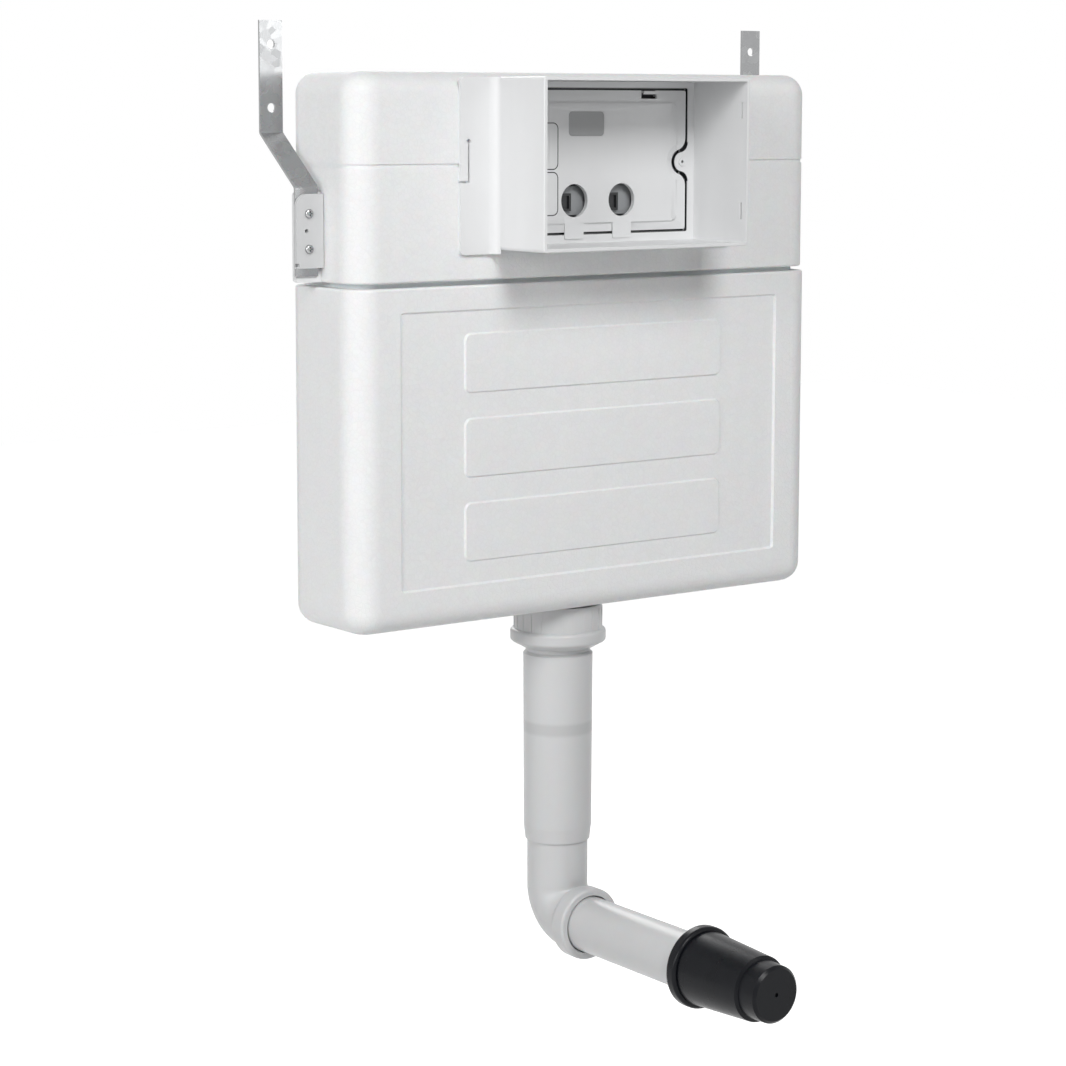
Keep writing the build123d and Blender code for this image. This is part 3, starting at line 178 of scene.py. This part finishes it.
def new_group(name, inputs):
    """A shader group with number inputs, and outputs for colour, roughness and normal."""
    group = bpy.data.node_groups.new(name, "ShaderNodeTree")
    socket = group.interface.new_socket(name="Color", in_out="INPUT", socket_type="NodeSocketColor")
    socket.default_value = (0.8, 0.8, 0.8, 1.0)
    for socket_name, default in inputs.items():
        socket = group.interface.new_socket(name=socket_name, in_out="INPUT", socket_type="NodeSocketFloat")
        socket.default_value = default
    for socket_name, kind in (("Color", "Color"), ("Roughness", "Float"), ("Normal", "Vector")):
        group.interface.new_socket(name=socket_name, in_out="OUTPUT", socket_type="NodeSocket" + kind)
    place = add_node(group, "ShaderNodeTexCoord").outputs["Object"]
    return group, group.nodes.new("NodeGroupInput").outputs, group.nodes.new("NodeGroupOutput").inputs, place


# %% [markdown]
# ## Moulded skin
# Moulded plastic and rubber have a fine uneven skin. One group makes it: a fine noise for the grain, a coarse
# noise for slow waves of tone and shine, and faint flow lines that run up and down as the mould filled.

# %% Moulded skin group
GRAIN_DISTANCE = 0.0002
skin_group, skin_in, skin_out, skin_place = new_group("moulded_skin", {
    "Grain Size": 900.0, "Wave Size": 12.0, "Tone": 0.04, "Roughness": 0.5, "Roughness Spread": 0.1,
    "Depth": 0.2})
grain = noise_of(skin_group, skin_place, skin_in["Grain Size"], 3.0)
waves = noise_of(skin_group, skin_place, skin_in["Wave Size"], 4.0)
flow = noise_of(skin_group, stretched(skin_group, skin_place, (90.0, 90.0, 7.0)), 1.0, 2.0)
unevenness = math_of(skin_group, "SUBTRACT", math_of(skin_group, "ADD", waves, flow), 1.0)
skin_tone = math_of(skin_group, "MULTIPLY_ADD", unevenness, skin_in["Tone"], 1.0)
feed(skin_group, toned(skin_group, skin_in["Color"], skin_tone), skin_out["Color"])
skin_shine = math_of(skin_group, "MULTIPLY_ADD", unevenness, skin_in["Roughness Spread"],
                     skin_in["Roughness"])
feed(skin_group, skin_shine, skin_out["Roughness"])
feed(skin_group, bumped(skin_group, grain, skin_in["Depth"], GRAIN_DISTANCE), skin_out["Normal"])
print("moulded skin group has", len(skin_group.nodes), "nodes")

# %% [markdown]
# ## Foam beads
# The jackets are blown from small beads that press flat against each other in the mould. A Voronoi pattern
# gives the beads: a hairline where two meet, each bead a little lighter or darker, and a soft dimple at each
# joint.

# %% Foam bead group
BEAD_LINE = 0.10
BEAD_DISTANCE = 0.00025
STREAK_SHINE = 0.2
bead_group, bead_in, bead_out, bead_place = new_group("foam_beads", {
    "Bead Size": 260.0, "Line Tone": 0.03, "Bead Tone": 0.02, "Streak Tone": 0.03, "Roughness": 0.55,
    "Depth": 0.3})
bead_edge = add_node(bead_group, "ShaderNodeTexVoronoi", feature="DISTANCE_TO_EDGE")
bead_cell = add_node(bead_group, "ShaderNodeTexVoronoi", feature="F1")
for texture in (bead_edge, bead_cell):
    feed(bead_group, bead_place, texture.inputs["Vector"])
    feed(bead_group, bead_in["Bead Size"], texture.inputs["Scale"])
flat_part = ramp_of(bead_group, bead_edge.outputs["Distance"], 0.0, BEAD_LINE)
cell_value = add_node(bead_group, "ShaderNodeSeparateColor")
feed(bead_group, bead_cell.outputs["Color"], cell_value.inputs[0])
cell_shift = math_of(bead_group, "SUBTRACT", cell_value.outputs[0], 0.5)
streak = noise_of(bead_group, stretched(bead_group, bead_place, (70.0, 70.0, 5.0)), 1.0, 3.0)
streak_shift = math_of(bead_group, "SUBTRACT", streak, 0.5)
line_part = math_of(bead_group, "SUBTRACT", flat_part, 1.0)
line_shift = math_of(bead_group, "MULTIPLY", line_part, bead_in["Line Tone"])
bead_tone = math_of(bead_group, "MULTIPLY_ADD", cell_shift, bead_in["Bead Tone"], 1.0)
bead_tone = math_of(bead_group, "MULTIPLY_ADD", streak_shift, bead_in["Streak Tone"], bead_tone)
bead_tone = math_of(bead_group, "ADD", line_shift, bead_tone)
feed(bead_group, toned(bead_group, bead_in["Color"], bead_tone), bead_out["Color"])
bead_shine = math_of(bead_group, "MULTIPLY_ADD", streak_shift, STREAK_SHINE, bead_in["Roughness"])
feed(bead_group, bead_shine, bead_out["Roughness"])
feed(bead_group, bumped(bead_group, flat_part, bead_in["Depth"], BEAD_DISTANCE), bead_out["Normal"])
print("foam bead group has", len(bead_group.nodes), "nodes")

# %% [markdown]
# ## Zinc and drawn metal
# Hot-dipped zinc freezes in flat crystals, the spangle, and a rolled strip keeps fine lines along its length.
# Turned brass and nickel have the lines only, so the same group serves them with the spangle at nought.

# %% Metal group
LINE_DISTANCE = 0.0001
SPANGLE_SHINE = 0.12
metal_group, metal_in, metal_out, metal_place = new_group("rolled_metal", {
    "Spangle Size": 140.0, "Spangle Tone": 0.10, "Line Tone": 0.05, "Roughness": 0.3, "Depth": 0.1})
spangle = add_node(metal_group, "ShaderNodeTexVoronoi", feature="F1")
feed(metal_group, metal_place, spangle.inputs["Vector"])
feed(metal_group, metal_in["Spangle Size"], spangle.inputs["Scale"])
spangle_value = add_node(metal_group, "ShaderNodeSeparateColor")
feed(metal_group, spangle.outputs["Color"], spangle_value.inputs[0])
spangle_shift = math_of(metal_group, "SUBTRACT", spangle_value.outputs[0], 0.5)
roll_lines = noise_of(metal_group, stretched(metal_group, metal_place, (1500.0, 1500.0, 25.0)), 1.0, 2.0)
roll_shift = math_of(metal_group, "SUBTRACT", roll_lines, 0.5)
metal_tone = math_of(metal_group, "MULTIPLY_ADD", spangle_shift, metal_in["Spangle Tone"], 1.0)
metal_tone = math_of(metal_group, "MULTIPLY_ADD", roll_shift, metal_in["Line Tone"], metal_tone)
feed(metal_group, toned(metal_group, metal_in["Color"], metal_tone), metal_out["Color"])
metal_shine = math_of(metal_group, "MULTIPLY_ADD", spangle_shift, SPANGLE_SHINE, metal_in["Roughness"])
feed(metal_group, metal_shine, metal_out["Roughness"])
feed(metal_group, bumped(metal_group, roll_lines, metal_in["Depth"], LINE_DISTANCE), metal_out["Normal"])
print("metal group has", len(metal_group.nodes), "nodes")


# %% [markdown]
# ## One maker for all finishes
# Every finish is a Principled BSDF fed by one of the groups. What is the same all over, such as how metallic
# it is, is set on the shader's own sockets.


# %% Material maker
LIGHT_REACH = 4.0 * MM
RUBBER_SHINE = 0.16


def finish_of(name, group, color, values, metallic=0.0, inside=0.0, shine=0.5):
    """A material from one group; the group's sizes count waves or cells per metre."""
    material = bpy.data.materials.new(name)
    material.use_nodes = True
    tree = material.node_tree
    shader = tree.nodes["Principled BSDF"]
    body = add_node(tree, "ShaderNodeGroup", node_tree=group)
    body.inputs["Color"].default_value = (*color, 1.0)
    for socket_name, value in values.items():
        body.inputs[socket_name].default_value = value
    for socket_name, target in (("Color", "Base Color"), ("Roughness", "Roughness"), ("Normal", "Normal")):
        feed(tree, body.outputs[socket_name], shader.inputs[target])
    shader.inputs["Metallic"].default_value = metallic
    shader.inputs["Specular IOR Level"].default_value = shine
    shader.inputs["Subsurface Weight"].default_value = inside
    shader.inputs["Subsurface Scale"].default_value = LIGHT_REACH
    return material


def plastic(name, color, roughness, tone=0.03, depth=0.12, inside=0.0):
    """A satin moulded plastic."""
    values = {"Grain Size": 1500.0, "Wave Size": 18.0, "Tone": tone, "Roughness": roughness,
              "Roughness Spread": 0.1, "Depth": depth}
    return finish_of(name, skin_group, color, values, inside=inside)


def rubber(name, color, roughness):
    """A moulded rubber, finely uneven."""
    values = {"Grain Size": 1100.0, "Wave Size": 30.0, "Tone": 0.3, "Roughness": roughness,
              "Roughness Spread": 0.16, "Depth": 0.25}
    return finish_of(name, skin_group, color, values, shine=RUBBER_SHINE)


def metal(name, color, roughness, spangle_tone=0.0, metallic=1.0):
    """A rolled or turned metal."""
    values = {"Spangle Tone": spangle_tone, "Roughness": roughness}
    return finish_of(name, metal_group, color, values, metallic=metallic)


# %% [markdown]
# ## The finishes
# The jackets are white foam, the box is satin white plastic, the straps are dipped in zinc, the screws are
# bright zinc, and the cap is black rubber with a soft shine.

# %% Finishes
FOAM_WHITE = (0.82, 0.825, 0.83)
BOX_WHITE = (0.76, 0.765, 0.77)
PIPE_WHITE = (0.58, 0.585, 0.59)
CLAMP_WHITE = (0.58, 0.585, 0.59)
finishes = {
    "foam": finish_of("foam_skin", bead_group, FOAM_WHITE, {}, inside=0.2),
    "white_plastic": plastic("white_plastic", BOX_WHITE, 0.38),
    "inner_plastic": plastic("inner_plastic", (0.30, 0.31, 0.32), 0.42, tone=0.05),
    "dark_plastic": plastic("dark_plastic", (0.012, 0.013, 0.015), 0.40, tone=0.1),
    "grey_label": plastic("grey_label", (0.38, 0.385, 0.39), 0.5, tone=0.06),
    "coated_steel": metal("dipped_zinc", (0.36, 0.365, 0.37), 0.26, spangle_tone=0.04, metallic=0.95),
    "steel": metal("bright_zinc", (0.38, 0.385, 0.39), 0.14),
    "brass": metal("turned_brass", (0.66, 0.47, 0.20), 0.25),
    "nickel": metal("bright_nickel", (0.62, 0.61, 0.58), 0.18),
    "black_rubber": rubber("black_rubber", (0.0035, 0.0042, 0.0062), 0.30),
    "gasket_rubber": rubber("gasket_rubber", (0.03, 0.031, 0.033), 0.6),
    "hose": plastic("woven_hose", (0.30, 0.31, 0.32), 0.45, tone=0.2, depth=0.5),
}
slot_of = {part["node"]: part["material_slot"] for part in frame["record"]["subparts"]}
for node_name, node_object in nodes.items():
    node_object.data.materials.clear()
    node_object.data.materials.append(finishes[slot_of[node_name]])
print("finishes:", ", ".join(sorted(finishes)))

# %% [markdown]
# ## Pipes and clamps
# The flush pipes are a thinner, slightly clearer plastic than the box, so they look greyer. The sealing ring
# inside the sleeve shows through it as a soft darker band. The clamps on the straps are as grey as the pipes.

# %% Pipe and clamp finishes
BAND_Z = (-0.5325, -0.5285, -0.5230, -0.5190)
BAND_TONE = 0.86
pipe_white = plastic("pipe_white", PIPE_WHITE, 0.34, inside=0.1)
sleeve_white = plastic("sleeve_white", PIPE_WHITE, 0.34, inside=0.1)


def add_band(material, low, low_full, high_full, high, tone):
    """Darken a material softly between two heights."""
    tree = material.node_tree
    body = next(node for node in tree.nodes if node.type == "GROUP")
    place = add_node(tree, "ShaderNodeTexCoord").outputs["Object"]
    height = add_node(tree, "ShaderNodeSeparateXYZ")
    feed(tree, place, height.inputs[0])
    above = ramp_of(tree, height.outputs["Z"], low, low_full)
    below = ramp_of(tree, height.outputs["Z"], high_full, high)
    inside_band = math_of(tree, "SUBTRACT", above, below)
    factor = math_of(tree, "MULTIPLY_ADD", inside_band, tone - 1.0, 1.0)
    shader = tree.nodes["Principled BSDF"]
    feed(tree, toned(tree, body.outputs["Color"], factor), shader.inputs["Base Color"])


add_band(sleeve_white, *BAND_Z, BAND_TONE)
for node_name in ("flush_bend", "flush_tail", "outlet_nut"):
    nodes[node_name].data.materials[0] = pipe_white
nodes["flush_sleeve"].data.materials[0] = sleeve_white
clamp_white = plastic("clamp_white", CLAMP_WHITE, 0.42)
for node_name in ("left_clamp", "right_clamp"):
    nodes[node_name].data.materials[0] = clamp_white
print("pipes and clamps finished")


# %% [markdown]
# ## Helpers for new pieces
# New pieces start as a bmesh. When it is done it becomes an object at the origin, gets its finish and rides
# on a body of the frame.


# %% Piece helpers
MERGE_WITHIN = 0.001 * MM
QUARTER_TURN = Matrix.Rotation(math.radians(90), 3, "X")


def piece_from(shape, name, body, slot, smooth_below_deg=40.0):
    """Turn a bmesh into an object that rides on a body."""
    bmesh.ops.remove_doubles(shape, verts=shape.verts, dist=MERGE_WITHIN)
    bmesh.ops.recalc_face_normals(shape, faces=shape.faces)
    mesh = bpy.data.meshes.new(name)
    shape.to_mesh(mesh)
    shape.free()
    mesh.materials.append(finishes[slot])
    piece = bpy.data.objects.new(name, mesh)
    bpy.context.collection.objects.link(piece)
    mesh.shade_smooth()
    mesh.set_sharp_from_angle(angle=math.radians(smooth_below_deg))
    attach(piece, body)
    print(name, "has", len(mesh.polygons), "faces")
    return piece


# %% [markdown]
# ## Painted shade behind the splash plate
# A thin black strip of painted shade lies on the ledge round the splash plate, and a second one lines the
# edge of its opening, so the gap round the plate reads as the black line that its depth makes. Each is one
# flat
# frame: a rectangle inside the opening, inset by the strip's width, its middle taken out, and the rest pulled
# forward.

# %% Painted shade on the ledge and on the edge of the opening
PLATE_LEDGE_Y = -94.0 * MM
PLATE_FOOT_Z = -120.6 * MM
PLATE_HEAD_Z = -10.0 * MM
# Sizes of the two black strips of painted shade round the splash plate.
LEDGE_SHADE_BEYOND_PLATE = 1.5 * MM
LEDGE_SHADE_WIDE = 5.2 * MM
OPENING_SHADE_BEYOND_PLATE = 1.95 * MM
OPENING_SHADE_WIDE = 0.3 * MM
OPENING_SHADE_DEEP = 2.4 * MM
LEDGE_SHADE_THICK = 0.05 * MM
PLATE_CORNER = 1.5 * MM
CORNER_STEPS = 6
plate_low, plate_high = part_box("splash_plate")


def flat_frame(name, x_range, z_range, y, wide, thick, body, corner):
    """A black frame: a rounded rectangle inset by its width, the middle removed, the rest pulled forward."""
    shape = bmesh.new()
    bmesh.ops.create_grid(shape, x_segments=1, y_segments=1, size=0.5)
    bmesh.ops.rotate(shape, verts=shape.verts, cent=(0, 0, 0), matrix=QUARTER_TURN)
    bmesh.ops.scale(shape, verts=shape.verts, vec=(x_range[1] - x_range[0], 1, z_range[1] - z_range[0]))
    bmesh.ops.translate(shape, verts=shape.verts, vec=(sum(x_range) / 2, y, sum(z_range) / 2))
    bmesh.ops.bevel(shape, geom=list(shape.verts), offset=corner, segments=CORNER_STEPS, profile=0.5,
                    affect="VERTICES", material=-1)
    middle = list(shape.faces)
    bmesh.ops.inset_region(shape, faces=middle, thickness=wide, use_boundary=True, use_even_offset=True)
    bmesh.ops.delete(shape, geom=middle, context="FACES")
    grown = bmesh.ops.extrude_face_region(shape, geom=list(shape.faces))
    front = [part for part in grown["geom"] if isinstance(part, bmesh.types.BMVert)]
    bmesh.ops.translate(shape, verts=front, vec=(0, -thick, 0))
    piece_from(shape, name, body, "dark_plastic")


def shade_round_plate(name, beyond, wide, thick):
    """A black frame of painted shade on the ledge that runs round the splash plate."""
    x_range = (plate_low.x - beyond, plate_high.x + beyond)
    z_range = (PLATE_FOOT_Z - beyond, PLATE_HEAD_Z + beyond)
    flat_frame(name, x_range, z_range, PLATE_LEDGE_Y, wide, thick, "tank", PLATE_CORNER)


# Painted shade: both strips are black sheets that stand for the darkness of the deep gap round the plate.
shade_round_plate("ledge_shade_strip", LEDGE_SHADE_BEYOND_PLATE, LEDGE_SHADE_WIDE, LEDGE_SHADE_THICK)
shade_round_plate("opening_shade_strip", OPENING_SHADE_BEYOND_PLATE, OPENING_SHADE_WIDE, OPENING_SHADE_DEEP)

# %% [markdown]
# ## Sweeping mouths in the splash plate
# Where the plate makes room for the two stud bosses, its edge sweeps in with a long round, and the boss
# flares into the frame beside it, so the gap between them is an S. A copy of the plate loses a block less a
# cylinder at each corner of its mouths, and the boss gains the same shape a little smaller.


# %% Helpers for cutting
STUD_Z = -66.7 * MM
CUT_PROUD = 1.0 * MM
CIRCLE_STEPS = 96


def solid_from(shape, name):
    """A helper object, not part of the model, for a Boolean modifier."""
    mesh = bpy.data.meshes.new(name)
    shape.to_mesh(mesh)
    shape.free()
    helper = bpy.data.objects.new(name, mesh)
    bpy.context.collection.objects.link(helper)
    return helper


def block_solid(name, x_range, y_range, z_range):
    """A box between ranges."""
    shape = bmesh.new()
    bmesh.ops.create_cube(shape, size=1.0)
    ranges = (x_range, y_range, z_range)
    bmesh.ops.scale(shape, verts=shape.verts, vec=[high - low for low, high in ranges])
    bmesh.ops.translate(shape, verts=shape.verts, vec=[(high + low) / 2 for low, high in ranges])
    return solid_from(shape, name)


def rod_solid(name, x, z, radius, y_range):
    """A cylinder along Y."""
    shape = bmesh.new()
    bmesh.ops.create_cone(shape, cap_ends=True, segments=CIRCLE_STEPS, radius1=radius, radius2=radius,
                          depth=y_range[1] - y_range[0])
    bmesh.ops.rotate(shape, verts=shape.verts, cent=(0, 0, 0), matrix=QUARTER_TURN)
    bmesh.ops.translate(shape, verts=shape.verts, vec=(x, sum(y_range) / 2, z))
    return solid_from(shape, name)


def cut(target, cutter):
    """Take the cutter out of the target for good, and delete it."""
    modifier = target.modifiers.new("cut", "BOOLEAN")
    modifier.operation = "DIFFERENCE"
    modifier.solver = "EXACT"
    modifier.object = cutter
    result = bpy.data.meshes.new_from_object(target.evaluated_get(bpy.context.evaluated_depsgraph_get()))
    target.modifiers.clear()
    target.data = result
    bpy.data.objects.remove(cutter)


def rounded_corner(name, x_range, y_range, z_range, round_x, round_z, radius):
    """A block less a round that sweeps past it."""
    piece = block_solid(name, sorted(x_range), y_range, sorted(z_range))
    through = (y_range[0] - CUT_PROUD, y_range[1] + CUT_PROUD)
    cut(piece, rod_solid(name + "_round", round_x, round_z, radius, through))
    return piece


# %% Splash plate with sweeping mouths
MOUTH_R = 10.0 * MM
NOTCH_R = 10.0 * MM
STUD_X = 85.4 * MM
PLATE_Y = (-98.5 * MM, -93.5 * MM)
CREASE_DEG = 30.0
mouth_x = plate_high.x - MOUTH_R
mouth_rise = math.sqrt((MOUTH_R + NOTCH_R) ** 2 - (mouth_x - STUD_X) ** 2)
touch_x = STUD_X + (mouth_x - STUD_X) * NOTCH_R / (MOUTH_R + NOTCH_R)
beside_plate_x = plate_high.x + CUT_PROUD

plate_copy = bmesh.new()
plate_copy.from_mesh(nodes["splash_plate"].data)
bmesh.ops.remove_doubles(plate_copy, verts=plate_copy.verts, dist=MERGE_WITHIN)
plate_piece = solid_from(plate_copy, "splash_plate_swept")
for side_x in (-1, 1):
    for side_z in (-1, 1):
        mouth_z = STUD_Z + side_z * mouth_rise
        cut(plate_piece, rounded_corner("mouth_corner", (side_x * touch_x, side_x * beside_plate_x), PLATE_Y,
                                        (STUD_Z + side_z * NOTCH_R / 2, mouth_z), side_x * mouth_x, mouth_z,
                                        MOUTH_R))
plate_shape = bmesh.new()
plate_shape.from_mesh(plate_piece.data)
bpy.data.objects.remove(plate_piece)
swept_plate = piece_from(plate_shape, "splash_plate_swept", "splash_plate", "white_plastic", CREASE_DEG)
evened = swept_plate.modifiers.new("evened", "WEIGHTED_NORMAL")
evened.keep_sharp = True
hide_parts("splash_plate")

# %% Flares of the stud bosses, and a ring of painted shade round both
FLARE_R = 8.0 * MM
BOSS_R = 7.6 * MM
OPENING_HALF_X = 91.8 * MM
FLARE_Y = (-97.6 * MM, -94.0 * MM)
# Thickness and depth of the black ring of painted shade round each boss.
SHADE_RING_THICK = 0.2 * MM
SHADE_RING_Y = (-97.2 * MM, -94.0 * MM)


def flare_at(side_x, side_z, radius, y_range):
    """One flare between a stud boss and the frame."""
    low_z = STUD_Z + side_z * BOSS_R
    x_range = (side_x * OPENING_HALF_X, side_x * (OPENING_HALF_X - radius))
    return rounded_corner("flare", x_range, y_range, (low_z, low_z + side_z * radius),
                          side_x * (OPENING_HALF_X - FLARE_R), low_z + side_z * FLARE_R, radius)


def take(target, helper):
    """Move a helper's mesh into a bmesh."""
    target.from_mesh(helper.data)
    bpy.data.objects.remove(helper)


flares = bmesh.new()
# Painted shade: a thin black ring round each boss and its flares lines the S-shaped gap and stands for the
# darkness of that deep gap.
boss_painted_shade = bmesh.new()
for side_x in (-1, 1):
    take(boss_painted_shade, rod_solid("boss_painted_shade", side_x * STUD_X, STUD_Z, BOSS_R + SHADE_RING_THICK, SHADE_RING_Y))
    for side_z in (-1, 1):
        take(flares, flare_at(side_x, side_z, FLARE_R, FLARE_Y))
        take(boss_painted_shade, flare_at(side_x, side_z, FLARE_R - SHADE_RING_THICK, SHADE_RING_Y))
piece_from(flares, "boss_flares", "tank", "white_plastic", CREASE_DEG)
piece_from(boss_painted_shade, "boss_shade_rings", "tank", "dark_plastic", CREASE_DEG)

# %% [markdown]
# ## Blank printed frames
# A sticker on the splash plate tells which hole is which. It stays bare here: two printed frames with nothing
# in them.

# %% Printed frames
PRINT_THICK = 0.05 * MM
PRINT_WIDE = 0.8 * MM
PRINT_CORNER = 5.0 * MM
RAISED_Y = -97.7 * MM
PRINT_X = (-68.0 * MM, -39.5 * MM)
PRINT_Z = {"print_frame_upper": (-71.7 * MM, -35.0 * MM), "print_frame_lower": (-107.4 * MM, -73.2 * MM)}
for print_name, print_z in PRINT_Z.items():
    flat_frame(print_name, PRINT_X, print_z, RAISED_Y, PRINT_WIDE, PRINT_THICK, "splash_plate", PRINT_CORNER)

# %% [markdown]
# ## Thread on the water inlet
# The inlet tail is a turned brass tube with an outside thread. A half section of it, with a saw-tooth edge
# where the thread is, spins once round the tube's axis. Rings stand for the thread's helix, which looks the
# same at this size. The piece stands for the plain solid.

# %% Threaded inlet
THREAD_PITCH = 1.8 * MM
THREAD_DEEP = 0.95 * MM
THREAD_CHAMFER = 0.8 * MM
SPIN_STEPS = 72
inlet_low, inlet_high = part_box("inlet_tail")
INLET_AXIS_Y = (inlet_low.y + inlet_high.y) / 2
INLET_AXIS_Z = (inlet_low.z + inlet_high.z) / 2
THREAD_R = 10.48 * MM
BORE_R = 6.0 * MM
SOCKET_R = 7.5 * MM
INLET_BOSS_R = 11.0 * MM
SHOULDER_R = 15.0 * MM
NECK_R = 9.6 * MM
INLET_BOSS_X = 190.0 * MM
SOCKET_END_X = 200.0 * MM
SHOULDER_X = 208.0 * MM
WASHER_X = 213.5 * MM
NUT_OUT_X = 225.5 * MM
THREAD_START_X = 227.0 * MM
END_X = 243.0 * MM
profile = [(INLET_BOSS_X, SOCKET_R), (INLET_BOSS_X, INLET_BOSS_R), (SHOULDER_X, INLET_BOSS_R),
           (SHOULDER_X, SHOULDER_R), (WASHER_X, SHOULDER_R), (WASHER_X, THREAD_R), (NUT_OUT_X, THREAD_R),
           (NUT_OUT_X, NECK_R), (THREAD_START_X, NECK_R), (THREAD_START_X, THREAD_R)]
crest_x = THREAD_START_X + THREAD_PITCH / 4
while crest_x + THREAD_PITCH < END_X - THREAD_CHAMFER:
    profile.append((crest_x, THREAD_R))
    profile.append((crest_x + THREAD_PITCH / 2, THREAD_R - THREAD_DEEP))
    crest_x += THREAD_PITCH
profile += [(crest_x, THREAD_R), (END_X - THREAD_CHAMFER, THREAD_R), (END_X, THREAD_R - THREAD_CHAMFER),
            (END_X, BORE_R), (SOCKET_END_X, BORE_R), (SOCKET_END_X, SOCKET_R)]
tail = bmesh.new()
ring = [tail.verts.new((x, INLET_AXIS_Y, INLET_AXIS_Z + radius)) for x, radius in profile]
edges = [tail.edges.new((here, after)) for here, after in zip(ring, ring[1:] + ring[:1])]
bmesh.ops.spin(tail, geom=ring + edges, cent=(0, INLET_AXIS_Y, INLET_AXIS_Z), axis=(1, 0, 0),
               angle=2 * math.pi, steps=SPIN_STEPS, use_merge=True, use_duplicate=False)
threaded = piece_from(tail, "threaded_inlet", "tank", "brass")
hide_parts("inlet_tail")

# %% [markdown]
# ## Stage
# A pale floor lies under the cap, and the world is plain white. Seen by the camera, and mirrored in metal,
# both are white paper. The floor adds a little light of its own for those rays only, so it still holds a soft
# shadow.

# %% Floor
FLOOR_GAP = 0.35
FLOOR_HALF = 6.0
FLOOR_COLOR = (0.8, 0.8, 0.8, 1.0)
FLOOR_ROUGHNESS = 0.9
FLOOR_LIFT = 0.62
FAR_LIFT = 0.25
FAR_FROM = 0.7
FAR_TO = 2.2
floor_shape = bmesh.new()
bmesh.ops.create_grid(floor_shape, x_segments=1, y_segments=1, size=FLOOR_HALF)
bmesh.ops.translate(floor_shape, verts=floor_shape.verts, vec=(0, 0, cad_low.z - FLOOR_GAP))
floor_mesh = bpy.data.meshes.new("floor")
floor_shape.to_mesh(floor_mesh)
floor_shape.free()
floor = bpy.data.objects.new("floor", floor_mesh)
bpy.context.collection.objects.link(floor)


def seen_directly(tree):
    """1 for rays from the camera, from a mirror or through glass, else 0."""
    ray = add_node(tree, "ShaderNodeLightPath").outputs
    mirrored = math_of(tree, "MAXIMUM", ray["Is Glossy Ray"], ray["Is Transmission Ray"])
    return math_of(tree, "MAXIMUM", ray["Is Camera Ray"], mirrored)


paper = bpy.data.materials.new("paper_floor")
paper.use_nodes = True
paper_tree = paper.node_tree
paper_shader = paper_tree.nodes["Principled BSDF"]
paper_shader.inputs["Base Color"].default_value = FLOOR_COLOR
paper_shader.inputs["Roughness"].default_value = FLOOR_ROUGHNESS
glow = add_node(paper_tree, "ShaderNodeEmission")
paper_place = add_node(paper_tree, "ShaderNodeTexCoord").outputs["Object"]
away = add_node(paper_tree, "ShaderNodeVectorMath", operation="LENGTH")
feed(paper_tree, paper_place, away.inputs[0])
far = ramp_of(paper_tree, away.outputs["Value"], FAR_FROM, FAR_TO)
lift = math_of(paper_tree, "MULTIPLY_ADD", far, FAR_LIFT, FLOOR_LIFT)
feed(paper_tree, math_of(paper_tree, "MULTIPLY", seen_directly(paper_tree), lift), glow.inputs["Strength"])
both = add_node(paper_tree, "ShaderNodeAddShader")
feed(paper_tree, paper_shader.outputs[0], both.inputs[0])
feed(paper_tree, glow.outputs[0], both.inputs[1])
feed(paper_tree, both.outputs[0], paper_tree.nodes["Material Output"].inputs["Surface"])
floor_mesh.materials.append(paper)
print("floor at", round(cad_low.z - FLOOR_GAP, 3))

# %% World
WORLD_LEVEL = 0.09
WHITE = (1.0, 1.0, 1.0, 1.0)
world = bpy.data.worlds.new("studio")
bpy.context.scene.world = world
world.use_nodes = True
world_tree = world.node_tree
sky = world_tree.nodes["Background"]
sky.inputs["Color"].default_value = WHITE
sky.inputs["Strength"].default_value = WORLD_LEVEL
white = add_node(world_tree, "ShaderNodeBackground")
white.inputs["Color"].default_value = WHITE
white.inputs["Strength"].default_value = 1.0
world_mix = add_node(world_tree, "ShaderNodeMixShader")
feed(world_tree, seen_directly(world_tree), world_mix.inputs[0])
feed(world_tree, sky.outputs[0], world_mix.inputs[1])
feed(world_tree, white.outputs[0], world_mix.inputs[2])
feed(world_tree, world_mix.outputs[0], world_tree.nodes["World Output"].inputs["Surface"])
print("world level", WORLD_LEVEL)


# %% [markdown]
# ## Lamps
# The key stands high in front, a little to the left, and throws the access box's shadow down on the jackets.
# A fill and a low lamp far to the left make the tank's side the brightest face. A small one on the right is
# what the left strap mirrors, and one behind keeps the back from going dark.


# %% Lamps
def soft_box(name, direction, distance, size, power):
    """A square area lamp that looks at the object's middle from a direction."""
    lamp_data = bpy.data.lights.new(name, "AREA")
    lamp_data.size = size
    lamp_data.energy = power
    lamp = bpy.data.objects.new(name, lamp_data)
    bpy.context.collection.objects.link(lamp)
    towards = Vector(direction).normalized()
    lamp.location = (cad_low + cad_high) / 2 + towards * distance
    lamp.rotation_euler = (-towards).to_track_quat("-Z", "Y").to_euler()


# name: direction, distance and size in metres, power in watts
LAMPS = {
    "key_box": ((-0.25, -1.0, 0.92), 3.0, 1.0, 50.0),
    "fill_box": ((-1.0, -0.4, 0.4), 2.8, 1.0, 23.0),
    "side_box": ((-1.0, 0.1, 0.1), 2.8, 1.2, 16.0),
    "strap_box": ((0.43, -0.82, 0.19), 3.0, 0.6, 3.8),
    "back_box": ((0.4, 1.0, 0.5), 3.0, 1.4, 24.0),
}
for lamp_name, settings in LAMPS.items():
    soft_box(lamp_name, *settings)
print("lamps placed")

# %% Finish
bpy.context.scene.view_settings.view_transform = "Standard"
